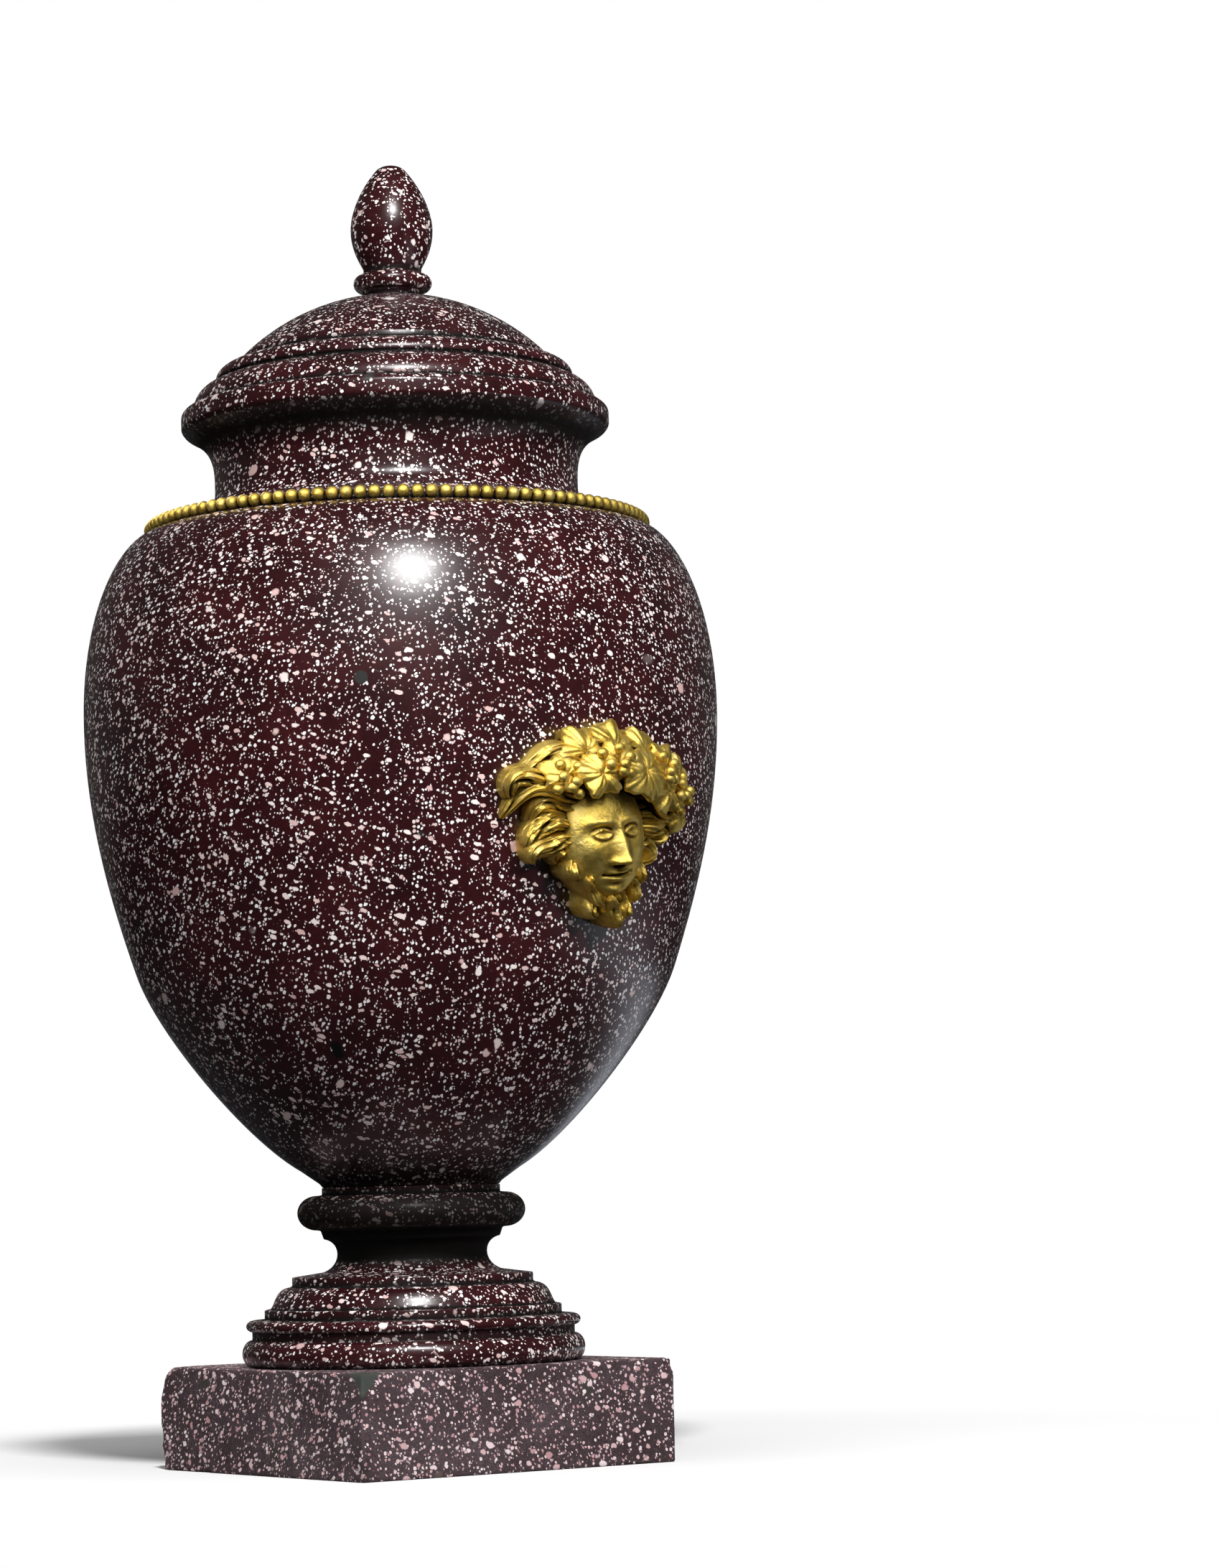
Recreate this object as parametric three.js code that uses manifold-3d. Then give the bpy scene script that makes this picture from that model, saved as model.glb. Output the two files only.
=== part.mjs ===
// Mantel urn: a lidded porphyry urn turned on a foot over a square plinth, with a ring of gilt beads
// on its shoulder and a gilt mask on each side. Millimetres, +Z up. The origin is the middle of the
// plinth's underside, +X points out of the plinth face below one mask, and -Y is the front.
import * as THREE from 'three';
import { mergeVertices } from 'three/addons/utils/BufferGeometryUtils.js';
import Module from 'manifold-3d';

const wasm = await Module();
wasm.setup();

// Heights of the joints between the pieces
const PLINTH_SIDE = 135;
const PLINTH_TOP = 37.3;
const FOOT_TOP = 101.5;
const BEAD_LEDGE = 341.6;
const RIM_TOP = 389.3;
const URN_TOP = 481.5;

// Plinth: softened arrises, one rounded corner and one chipped corner
const PLINTH_ARRIS = 0.8;
const ROUNDED_CORNER = [6, 5];
const CHIPPED_CORNER = [4.5, 3.4];
const CORNER_CUTTER = 40;

// Body: widest radius and its height, seat on the foot, flank, walls, neck and rim
const BELLY_RADIUS = 116.72;
const BELLY_HEIGHT = 275.1;
const BODY_SEAT = [40, 107.6];
const FLANK = [[98.78, 180.25], [107.59, 206.77], [BELLY_RADIUS, 238.33], [BELLY_RADIUS, BELLY_HEIGHT]];
const NECK_RADIUS = 67.3;
const RIM_RADIUS = 79.4;
const MOUTH_RADIUS = 55;
const WALL = 13.5;
const FLOOR_HEIGHT = 121;

// Lid: dome sphere, spigot and wall
const DOME_RADIUS = 80.5;
const DOME_CENTRE = 351.3;
const DOME_EDGE = 56.5;
const LID_WALL = 11;
const SPIGOT_OUTER = 53.5;
const SPIGOT_INNER = 46.5;
const SPIGOT_DEPTH = 7.5;
const FINIAL_NECK = 10.9;

// Bead ring
const BEAD_COUNT = 114;
const BEAD_RADIUS = 2.45;
const BEAD_RING_RADIUS = 91.3;
const BEAD_SIDES = 3;
const BEAD_WAIST = 0.45;

// Masks: where they sit on the flank, their spread and their face
const URN_TURN = THREE.MathUtils.degToRad(2.3);
const MASK_UP = 46.2;
const MASK_RADIUS = 111;
const MASK_GAP = 0.3;
const MASK_ROOT = -5;
const FACE_MIDDLE = -4;
const FACE_HALF_WIDTH = 15.5;
const FACE_HALF_HEIGHT = 19;
const HEAD_TILT = THREE.MathUtils.degToRad(9);
const MASK_SPREAD = 1.05;
const MASK_PAD = 3;
const MASK_REACH = 48;
const FACE_COLUMNS = [-1, -0.74, -0.52, -0.34, -0.16, 0, 0.16, 0.34, 0.52, 0.74, 1];
const FACE_ROWS = [-23, -18.8, -16.2, -14.4, -13.1, -11.8, -9.4, -7.8, -3.6, -1.7, 0, 1.8, 3.6, 8, 15];
const FACE_EDGE = 1.08;
const DOME_WIDEN = 1.06;
const DOME_LENGTHEN = 1.08;
const DOME_FOOT = 3;
const DOME_RISE = 14;

// Nose: where it starts, how it widens and stands out towards its tip, and how it ends below
const NOSE_START = 4;
const NOSE_ROOT = 3;
const NOSE_LENGTH = 11;
const NOSE_HALF = 1.5;
const NOSE_WIDEN = 1.4;
const NOSE_BRIDGE = 1.2;
const NOSE_RISE = 5.2;
const NOSE_UNDER = 1.8;

// Brow, eye socket, lids, cheek, nostril, upper lip, mouth, lower lip and chin: across, up, half width,
// half length and height
const FACE_HILLS = [
  [5, 3.4, 5, 1.8, 1.5],
  [5.4, 0, 3, 1.9, -2.4],
  [5.4, -0.1, 1.9, 1.4, 1.9],
  [8, -5, 4, 4, 1.2],
  [2.6, -8.2, 1.2, 1.3, 1.4],
  [0, -11.9, 3.6, 0.9, 1],
  [0, -13.1, 4.6, 0.6, -1.2],
  [0, -14.4, 3.2, 1, 1.3],
  [0, -18.6, 4, 2.4, 2],
];

// Hair and wreath: grid, grapes, the swing and curl of a lock, and the shape of a leaf
const WREATH_SECTORS = 42;
const WREATH_RINGS = 6;
const WREATH_INNER = 11;
const WREATH_STEP = 0.5;
const GRAPE_RADIUS = 2.1;
const BUNCH_GRAPES = 5;
const BUNCH_RADIUS = 2.8;
const LOCK_STEPS = 14;
const LOCK_NUDGE = 0.02;
const CURL_START = 0.45;
const CURL_POWER = 1.4;
const SWING = 0.42;
const SWING_PACE = 8.5;
const SWING_START = 0.3;
const LEAF_VEINS = [[0, 1.02], [1.117, 0.92], [-1.117, 0.92], [2.269, 0.76], [-2.269, 0.76]];
const LEAF_ROUND = 0.62;
const LEAF_LOBE = 0.44;
const LEAF_LEAN = 0.4;
const LEAF_STALK = 0.2;
const LEAF_CROWN = 1;
const LEAF_FALL = 2;
const LEAF_CENTRE = 2;

// Turned sections
const BODY_SEGMENTS = 28;
const FOOT_SEGMENTS = 24;
const LID_SEGMENTS = 25;

const stone = new THREE.MeshStandardMaterial({ color: 0x4a1f28, roughness: 0.18, metalness: 0 });
const plinthStone = new THREE.MeshStandardMaterial({ color: 0x55333a, roughness: 0.45, metalness: 0 });
const gilt = new THREE.MeshStandardMaterial({ color: 0xc99a2e, roughness: 0.32, metalness: 1 });

const at = (r, z) => new THREE.Vector2(r, z);

function curve(points, divisions) {
  const [a, b, c, d] = points.map(([r, z]) => at(r, z));
  return new THREE.CubicBezierCurve(a, b, c, d).getPoints(divisions);
}

function arc(r, z, halfWidth, halfHeight, fromDegrees, toDegrees, divisions) {
  const from = THREE.MathUtils.degToRad(fromDegrees);
  const to = THREE.MathUtils.degToRad(toDegrees);
  return new THREE.EllipseCurve(r, z, halfWidth, halfHeight, from, to, to < from).getPoints(divisions);
}

// A profile of radius and height, turned about Z
function turned(profile, segments) {
  const lathe = new THREE.LatheGeometry(profile, segments);
  lathe.rotateX(Math.PI / 2);
  return lathe;
}

function solidOf(geometry) {
  const bare = geometry.clone();
  bare.deleteAttribute('normal');
  bare.deleteAttribute('uv');
  const merged = mergeVertices(bare, 1e-4);
  const vertProperties = new Float32Array(merged.attributes.position.array);
  const triVerts = new Uint32Array(merged.index.array);
  const mesh = new wasm.Mesh({ numProp: 3, vertProperties, triVerts });
  mesh.merge();
  return new wasm.Manifold(mesh);
}

function geometryOf(solid) {
  const { vertProperties, triVerts } = solid.getMesh();
  const geometry = new THREE.BufferGeometry();
  geometry.setAttribute('position', new THREE.BufferAttribute(new Float32Array(vertProperties), 3));
  geometry.setIndex(new THREE.BufferAttribute(new Uint32Array(triVerts), 1));
  geometry.computeVertexNormals();
  return geometry;
}

function closedMesh(points, triangles) {
  const geometry = new THREE.BufferGeometry().setFromPoints(points);
  geometry.setIndex(triangles.flat());
  return geometry;
}

// Plinth: a square block with softened arrises, cut at its two damaged top corners
function plinthGeometry() {
  const half = PLINTH_SIDE / 2 - PLINTH_ARRIS;
  const square = new THREE.Shape();
  square.moveTo(-half, -half);
  square.lineTo(half, -half);
  square.lineTo(half, half);
  square.lineTo(-half, half);
  square.closePath();
  const block = new THREE.ExtrudeGeometry(square, {
    depth: PLINTH_TOP - 2 * PLINTH_ARRIS,
    bevelThickness: PLINTH_ARRIS,
    bevelSize: PLINTH_ARRIS,
    bevelSegments: 1,
  });
  block.translate(0, 0, PLINTH_ARRIS);
  let solid = solidOf(block);
  for (const [sx, sy, [wide, high]] of [[-1, -1, ROUNDED_CORNER], [1, -1, CHIPPED_CORNER]]) {
    const cutter = new THREE.BoxGeometry(CORNER_CUTTER, CORNER_CUTTER, CORNER_CUTTER);
    const outward = new THREE.Vector3(sx / wide, sy / wide, 1 / high).normalize();
    const facing = new THREE.Quaternion().setFromUnitVectors(new THREE.Vector3(0, 0, 1), outward);
    cutter.translate(0, 0, CORNER_CUTTER / 2);
    cutter.applyQuaternion(facing);
    cutter.translate(sx * (PLINTH_SIDE / 2 - wide), sy * PLINTH_SIDE / 2, PLINTH_TOP);
    solid = solid.subtract(solidOf(cutter));
  }
  return geometryOf(solid);
}

// Foot: torus, groove and torus, a cyma between two fillets, a scotia, a large torus and a fillet
function footGeometry() {
  const profile = [
    at(0, PLINTH_TOP),
    at(60.1, PLINTH_TOP),
    ...arc(58.8, 42, 3.7, 4.9, -55, 90, 4),
    at(58.8, 49.7),
    ...arc(58.3, 51.9, 2.7, 2.1, -80, 90, 3),
    at(54.2, 54.4),
    at(54.2, 57.6),
    ...curve([[52, 58], [50.2, 60], [50.3, 65.2], [44.8, 65.7]], 4),
    at(44, 66.2),
    at(44, 69.2),
    ...curve([[32.6, 70.8], [25.6, 73.2], [25.8, 81.8], [32.2, 82.8]], 4),
    at(33.3, 85.9),
    ...arc(34.6, 92.4, 7.1, 6.3, -90, 90, 5),
    at(32.6, 98.9),
    at(32.6, FOOT_TOP),
    at(0, FOOT_TOP),
  ];
  return turned(profile, FOOT_SEGMENTS);
}

// The outer curve of the body from its seat on the foot up to the bead ledge, set out by "grow"
function bodyOutline(grow) {
  const low = [BODY_SEAT, [59.81, 119.28], [91.63, 158.73], FLANK[0]];
  const shoulder = [[BELLY_RADIUS, BELLY_HEIGHT], [BELLY_RADIUS, 312.6], [104.1, 337.9], [93.4, BEAD_LEDGE]];
  const points = [...curve(low, 6), ...curve(FLANK, 5).slice(1), ...curve(shoulder, 6).slice(1)];
  return points.map((p) => at(p.x + grow, p.y));
}

// Body: ovoid, bead ledge, cavetto, neck and rim outside, and the hollow with its mouth inside
function bodyGeometry() {
  const inner = BELLY_RADIUS - WALL;
  const profile = [
    at(0, FOOT_TOP),
    at(32.3, FOOT_TOP),
    at(33.2, 102.8),
    ...bodyOutline(0),
    at(88.4, BEAD_LEDGE),
    at(88.4, 345.6),
    ...curve([[87.6, 346], [76, 346.4], [67.4, 350.5], [NECK_RADIUS, 358]], 3),
    ...curve([[NECK_RADIUS, 362], [67.4, 371.5], [70, 376.5], [78.3, 380.4]], 4),
    at(RIM_RADIUS, 381.9),
    at(RIM_RADIUS, 386),
    at(78.4, 388),
    at(75.3, RIM_TOP),
    at(MOUTH_RADIUS, RIM_TOP),
    at(MOUTH_RADIUS, 346),
    ...curve([[72, 336], [92, 325], [inner, 305], [inner, BELLY_HEIGHT]], 3),
    ...curve([[inner, BELLY_HEIGHT], [inner, 210], [66, FLOOR_HEIGHT], [20, FLOOR_HEIGHT]], 5).slice(1),
    at(0, FLOOR_HEIGHT),
  ];
  return turned(profile, BODY_SEGMENTS);
}

// Lid: hollow underside with its spigot, ovolo, band, dome and the finial turned in one with it
function lidGeometry() {
  const hollow = DOME_RADIUS - LID_WALL;
  const hollowEdge = THREE.MathUtils.radToDeg(Math.acos(SPIGOT_INNER / hollow));
  const domeEdge = THREE.MathUtils.radToDeg(Math.acos(DOME_EDGE / DOME_RADIUS));
  const domeTop = THREE.MathUtils.radToDeg(Math.acos(FINIAL_NECK / DOME_RADIUS));
  const profile = [
    ...arc(0, DOME_CENTRE, hollow, hollow, 90, hollowEdge, 3),
    at(SPIGOT_INNER, RIM_TOP - SPIGOT_DEPTH),
    at(SPIGOT_OUTER, RIM_TOP - SPIGOT_DEPTH),
    at(SPIGOT_OUTER, RIM_TOP),
    ...curve([[74.8, RIM_TOP], [74.8, 393.6], [71.5, 397.4], [67.2, 398.4]], 3),
    at(66, 399.2),
    ...curve([[66.2, 399.9], [66.6, 403.6], [62.5, 405.6], [58.2, 406]], 3),
    at(57, 406.4),
    ...arc(0, DOME_CENTRE, DOME_RADIUS, DOME_RADIUS, domeEdge, domeTop, 4),
    at(FINIAL_NECK, 432.6),
    ...arc(11.6, 436.7, 3, 3.1, -90, 90, 4),
    at(10.8, 440.6),
    ...curve([[10.8, 442.2], [12.3, 445], [15.3, 450], [15.3, 456.8]], 3),
    ...curve([[15.3, 456.8], [15.3, 463.5], [11.8, 472], [5.6, 479.4]], 4).slice(1),
    at(3.4, 481),
    at(0, URN_TOP),
  ];
  return turned(profile, LID_SEGMENTS);
}

// Bead ring: one closed loop whose section swells at each bead and narrows between two beads
function beadRingGeometry() {
  const stations = BEAD_COUNT * 2;
  const middle = BEAD_LEDGE + MASK_GAP + BEAD_RADIUS;
  const points = [];
  const triangles = [];
  for (let i = 0; i < stations; i += 1) {
    const angle = (i / stations) * 2 * Math.PI;
    const swell = i % 2 === 0 ? BEAD_RADIUS : BEAD_RADIUS * BEAD_WAIST;
    for (let k = 0; k < BEAD_SIDES; k += 1) {
      const turn = (k / BEAD_SIDES) * 2 * Math.PI + Math.PI / 6;
      const r = BEAD_RING_RADIUS + swell * Math.cos(turn);
      const z = middle + swell * Math.sin(turn);
      points.push(new THREE.Vector3(r * Math.cos(angle), r * Math.sin(angle), z));
    }
  }
  for (let i = 0; i < stations; i += 1) {
    for (let k = 0; k < BEAD_SIDES; k += 1) {
      const a = i * BEAD_SIDES + k;
      const b = i * BEAD_SIDES + ((k + 1) % BEAD_SIDES);
      const c = ((i + 1) % stations) * BEAD_SIDES + k;
      const d = ((i + 1) % stations) * BEAD_SIDES + ((k + 1) % BEAD_SIDES);
      triangles.push([a, c, b], [b, c, d]);
    }
  }
  return closedMesh(points, triangles);
}

// The point at "across" and "up" along the flank from the mask's middle, "out" along its normal
const flankCurve = new THREE.CubicBezierCurve(...FLANK.map(([r, z]) => at(r, z)));
const flankLength = flankCurve.getLength();

function onFlank(across, up, out) {
  const along = (MASK_UP + up * MASK_SPREAD) / flankLength;
  const foot = flankCurve.getPointAt(along);
  const rise = flankCurve.getTangentAt(along);
  const angle = (across * MASK_SPREAD) / MASK_RADIUS;
  const r = foot.x + out * rise.y;
  return new THREE.Vector3(r * Math.cos(angle), r * Math.sin(angle), foot.y - out * rise.x);
}

// A rounded hill of the given height, width and length, used to build the face
function hill(u, v, middleU, middleV, halfU, halfV, height) {
  const du = (u - middleU) / halfU;
  const dv = (v - middleV) / halfV;
  return height * Math.exp(-du * du - dv * dv);
}

// Height of a calm, evenly proportioned face over the flank
function faceHeight(u, v) {
  const side = Math.abs(u);
  const du = u / (FACE_HALF_WIDTH * DOME_WIDEN);
  const dv = (v - FACE_MIDDLE) / (FACE_HALF_HEIGHT * DOME_LENGTHEN);
  const dome = DOME_FOOT + DOME_RISE * Math.sqrt(Math.max(0, 1 - du * du - dv * dv));
  const tip = NOSE_ROOT - NOSE_LENGTH;
  const run = THREE.MathUtils.clamp((NOSE_ROOT - v) / NOSE_LENGTH, 0, 1);
  const half = NOSE_HALF + NOSE_WIDEN * run;
  const end = v < tip ? Math.max(0, 1 - (tip - v) / NOSE_UNDER) : 1;
  const nose = v < NOSE_START ? (NOSE_BRIDGE + NOSE_RISE * run) * end * Math.exp(-((u / half) ** 2)) : 0;
  return FACE_HILLS.reduce((sum, form) => sum + hill(side, v, ...form), dome + nose);
}

// Line of a lock: the parabola through root, middle and tip, swung from side to side and curled near its tip
function lockLine({ root, middle, tip, width, curl }) {
  const pull = middle.map((value, axis) => 2 * value - (root[axis] + tip[axis]) / 2);
  const on = (t) => root.map((value, axis) => (
    (1 - t) ** 2 * value + 2 * t * (1 - t) * pull[axis] + t * t * tip[axis]));
  const phase = 1.7 * root[0] + 0.9 * root[1];
  let [u, v] = root;
  const line = [];
  for (let n = 0; n <= LOCK_STEPS; n += 1) {
    const t = n / LOCK_STEPS;
    const [early, late] = [Math.max(0, t - LOCK_NUDGE), Math.min(1, t + LOCK_NUDGE)];
    const [before, after] = [on(early), on(late)];
    const [du, dv] = [after[0] - before[0], after[1] - before[1]];
    const scale = 1 / LOCK_STEPS / (late - early);
    const turn = Math.atan2(dv, du)
      + THREE.MathUtils.degToRad(curl) * THREE.MathUtils.smoothstep(t, CURL_START, 1) ** CURL_POWER
      + SWING * Math.sin(SWING_PACE * t + phase) * THREE.MathUtils.smoothstep(t, 0, SWING_START);
    const half = width * (0.75 + 0.25 * Math.sin(Math.PI * Math.min(1, 1.2 * t))) * Math.sqrt(1.05 - t ** 5);
    line.push({ u, v, half, high: on(t)[2] });
    u += Math.cos(turn) * Math.hypot(du, dv) * scale;
    v += Math.sin(turn) * Math.hypot(du, dv) * scale;
  }
  return line;
}

// Height of a lock of hair at (u, v): the highest of the domes set along its line
function lockHeight(u, v, line) {
  const domes = line.map((point) => {
    const miss = Math.hypot(u - point.u, v - point.v) / point.half;
    return miss < 1 ? point.high * Math.sqrt(1 - miss * miss) : 0;
  });
  return Math.max(...domes);
}

// Height of a vine leaf: a plate with a lobe on each of its veins, leaning down away from the mask's middle
function leafHeight(u, v, [middleU, middleV, out, reach, heading]) {
  const [du, dv] = [
    u - middleU + LEAF_STALK * reach * Math.cos(heading), v - middleV + LEAF_STALK * reach * Math.sin(heading)];
  const turn = Math.atan2(dv, du);
  const bells = LEAF_VEINS.map(([vein, long]) => {
    const off = THREE.MathUtils.euclideanModulo(turn - heading - vein + Math.PI, 2 * Math.PI) - Math.PI;
    return (long - LEAF_ROUND) * Math.exp(-((off / LEAF_LOBE) ** 2));
  });
  const edge = reach * (LEAF_ROUND + bells.reduce((sum, bell) => sum + bell, 0));
  const r = Math.hypot(du, dv);
  if (r >= edge) return 0;
  const away = Math.atan2(middleV - LEAF_CENTRE, middleU);
  return out + LEAF_CROWN - LEAF_FALL * (r / edge) ** 2 - LEAF_LEAN * r * Math.cos(turn - away);
}

// Height of a grape: a ball standing on the work below
function grapeHeight(u, v, { middle, out }) {
  const miss = Math.hypot(u - middle[0], v - middle[1]) / GRAPE_RADIUS;
  return miss < 1 ? out + GRAPE_RADIUS * Math.sqrt(1 - miss * miss) : 0;
}

// Height of the hair, beard and wreath: the highest of their locks, leaves and grapes
function wreathHeight(u, v) {
  const heights = [
    ...locks.map((lock) => lockHeight(u, v, lock)),
    ...leaves.map((leaf) => leafHeight(u, v, leaf)),
    ...grapes.map((grape) => grapeHeight(u, v, grape)),
  ];
  return Math.max(0, ...heights);
}

// Hair and beard round from the upper left: root, middle and tip, each across, up and out, half width and curl
const locks = [
  [[-8, 19, 13], [-22, 22.5, 11], [-35, 15, 6.5], 4.8, 40],
  [[-11, 14, 13], [-27, 16.5, 12], [-40, 10.5, 7], 4.6, 70],
  [[-11, 9.5, 12], [-27, 10.5, 10], [-40, 5.5, 5.5], 4, 50],
  [[-13, 5.5, 10.5], [-22, 6, 9.5], [-31, 2.5, 6.5], 3.6, 60],
  [[-13, 1, 10], [-23, 1, 11.5], [-31, -5, 8.5], 4.4, 80],
  [[-13, -4, 10], [-22, -5, 12], [-29, -11, 9], 4.4, 90],
  [[-13, -7, 9], [-16.5, -9, 9.5], [-18.5, -13, 7], 2.8, 110],
  [[-12, -9, 12], [-11.5, -15, 13.5], [-6, -21, 11], 2.6, 60],
  [[-7.5, -14.5, 13.5], [-4.5, -20.5, 15], [2, -27, 11], 3.2, 60],
  [[-4, -19, 11], [-1.5, -26, 11], [5, -32, 8], 3, 80],
  [[-2, -18, 12], [3, -26, 13.5], [8, -33, 9], 4, 80],
  [[3, -20, 14], [6, -27, 15], [11, -34, 10], 4.4, 60],
  [[7, -19, 13], [11, -25, 13.5], [16, -30, 9.5], 3.8, 50],
  [[11, -14, 11], [16, -19, 11.5], [19, -25, 8.5], 3.4, -60],
  [[13, -9, 10], [18, -13, 10.5], [20.5, -19, 8], 3.2, -80],
  [[13, -4, 10], [21, -5, 10.5], [27, -12, 8.5], 4, -110],
  [[13, 1, 10], [24, 1, 11.5], [34, -6, 8.5], 4.4, -130],
  [[13, 6, 11], [26, 7, 10], [38, 0, 6.5], 4.4, -90],
  [[12, 13, 12], [26, 15, 10], [39, 8, 6], 4.8, -60],
  [[10, 19, 13], [22, 22.5, 10.5], [34, 15, 6], 4.8, -40],
].map(([root, middle, tip, width, curl]) => lockLine({ root, middle, tip, width, curl }));

// Vine leaves: across, up, out, reach and heading
const leaves = [
  [-12, 26.5, 12, 8.6, 2.2], [-1, 28.5, 12.5, 9, 1.3], [11, 27, 12, 8.6, 0.8], [-10, 17, 20, 8, -1.9],
  [6, 18, 20, 9.6, -1.2], [19, 22.5, 13.5, 9, 0.9], [20, 13, 15, 8.6, -0.7], [32, 14.5, 10.5, 9.6, 0.2],
  [33, 6, 9.5, 8, -0.9], [-20, 18, 14.5, 7.2, 2.8], [-2, 23, 18, 7.6, 0.6], [26, 20, 12, 7.6, 1.4],
];

// Bunches of grapes: across, up and out, each a ring of grapes
const bunches = [[-17, 15.5, 17], [-4, 21.5, 21.5], [15, 20, 18.5], [26, 13, 15]];
const grapes = bunches.flatMap(([u, v, out]) => Array.from({ length: BUNCH_GRAPES }, (_, n) => {
  const turn = (n / BUNCH_GRAPES) * 2 * Math.PI;
  return { middle: [u + BUNCH_RADIUS * Math.cos(turn), v + BUNCH_RADIUS * Math.sin(turn)], out };
}));

// The head's tilt: a point of the face turned in the mask's plane about the face's middle
function tilted(u, v) {
  const lift = v - FACE_MIDDLE;
  return [
    u * Math.cos(HEAD_TILT) - lift * Math.sin(HEAD_TILT),
    u * Math.sin(HEAD_TILT) + lift * Math.cos(HEAD_TILT) + FACE_MIDDLE,
  ];
}

// Face: a grid over an oval, raised by faceHeight, with a flat root inside the stone's surface
function faceSolid() {
  const columns = FACE_COLUMNS.length;
  const rows = FACE_ROWS.length;
  const grid = [];
  for (const v of FACE_ROWS) {
    const lift = (v - FACE_MIDDLE) / FACE_HALF_HEIGHT;
    const width = FACE_HALF_WIDTH * Math.sqrt(FACE_EDGE - lift * lift);
    for (const column of FACE_COLUMNS) grid.push([column * width, v]);
  }
  const top = grid.map(([u, v]) => onFlank(...tilted(u, v), faceHeight(u, v)));
  const rim = [];
  for (let i = 0; i < columns; i += 1) rim.push(i);
  for (let j = 1; j < rows; j += 1) rim.push(j * columns + columns - 1);
  for (let i = columns - 2; i >= 0; i -= 1) rim.push((rows - 1) * columns + i);
  for (let j = rows - 2; j > 0; j -= 1) rim.push(j * columns);
  const root = rim.map((index) => onFlank(...tilted(...grid[index]), MASK_ROOT));
  const points = [...top, ...root, onFlank(0, FACE_MIDDLE, MASK_ROOT)];
  const triangles = [];
  for (let j = 0; j < rows - 1; j += 1) {
    for (let i = 0; i < columns - 1; i += 1) {
      const a = j * columns + i;
      triangles.push([a, a + 1, a + columns], [a + 1, a + columns + 1, a + columns]);
    }
  }
  for (let n = 0; n < rim.length; n += 1) {
    const next = (n + 1) % rim.length;
    const [low, lowNext] = [top.length + n, top.length + next];
    triangles.push([rim[n], low, rim[next]], [rim[next], low, lowNext], [low, points.length - 1, lowNext]);
  }
  return solidOf(closedMesh(points, triangles));
}

// Hair, beard and wreath: rings of points from under the face out to where their height ends
function wreathSolid() {
  const points = [onFlank(0, 0, MASK_PAD)];
  const triangles = [];
  const index = (ring, sector) => 1 + ring * WREATH_SECTORS + (sector % WREATH_SECTORS);
  const rays = [];
  for (let i = 0; i < WREATH_SECTORS; i += 1) {
    const turn = (i / WREATH_SECTORS) * 2 * Math.PI;
    const [du, dv] = [Math.cos(turn), Math.sin(turn)];
    let reach = MASK_REACH;
    while (wreathHeight(reach * du, reach * dv) < MASK_PAD) reach -= WREATH_STEP;
    rays.push([du, dv, WREATH_INNER, reach]);
  }
  for (let ring = 0; ring <= WREATH_RINGS; ring += 1) {
    for (const [du, dv, from, to] of rays) {
      const r = from + (to - from) * Math.min(1, ring / (WREATH_RINGS - 1));
      const out = ring < WREATH_RINGS ? Math.max(MASK_PAD, wreathHeight(r * du, r * dv)) : MASK_ROOT;
      points.push(onFlank(r * du, r * dv, out));
    }
  }
  points.push(onFlank(0, 0, MASK_ROOT));
  for (let i = 0; i < WREATH_SECTORS; i += 1) {
    triangles.push([0, index(0, i), index(0, i + 1)]);
    triangles.push([points.length - 1, index(WREATH_RINGS, i + 1), index(WREATH_RINGS, i)]);
    for (let ring = 0; ring < WREATH_RINGS; ring += 1) {
      const [a, b] = [index(ring, i), index(ring, i + 1)];
      const [c, d] = [index(ring + 1, i), index(ring + 1, i + 1)];
      triangles.push([a, c, b], [b, c, d]);
    }
  }
  return solidOf(closedMesh(points, triangles));
}

// Mask: the face joined to its hair, beard and wreath, and cut to sit on the body
function maskGeometry() {
  const seat = [at(0, BODY_SEAT[1]), ...bodyOutline(MASK_GAP), at(0, BEAD_LEDGE)];
  const carved = faceSolid().add(wreathSolid());
  return geometryOf(carved.subtract(solidOf(turned(seat, BODY_SEGMENTS))));
}

function piece(name, geometry, material) {
  const mesh = new THREE.Mesh(geometry, material);
  mesh.name = name;
  return mesh;
}

const mask = maskGeometry();
const frontMask = piece('mask_front', mask, gilt);
const backMask = piece('mask_back', mask, gilt);
backMask.rotation.z = Math.PI;

const urn = new THREE.Group();
urn.rotation.z = URN_TURN;
urn.add(
  piece('foot', footGeometry(), stone),
  piece('body', bodyGeometry(), stone),
  piece('lid', lidGeometry(), stone),
  piece('bead_ring', beadRingGeometry(), gilt),
  frontMask,
  backMask,
);

const mantelUrn = new THREE.Group();
mantelUrn.add(piece('plinth', plinthGeometry(), plinthStone), urn);

export default mantelUrn;
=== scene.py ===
"""Mantel urn in polished porphyry on a honed plinth, with a gilt bead ring and gilt masks."""
import math
import bpy
import numpy as np
from mathutils import Matrix


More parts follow.
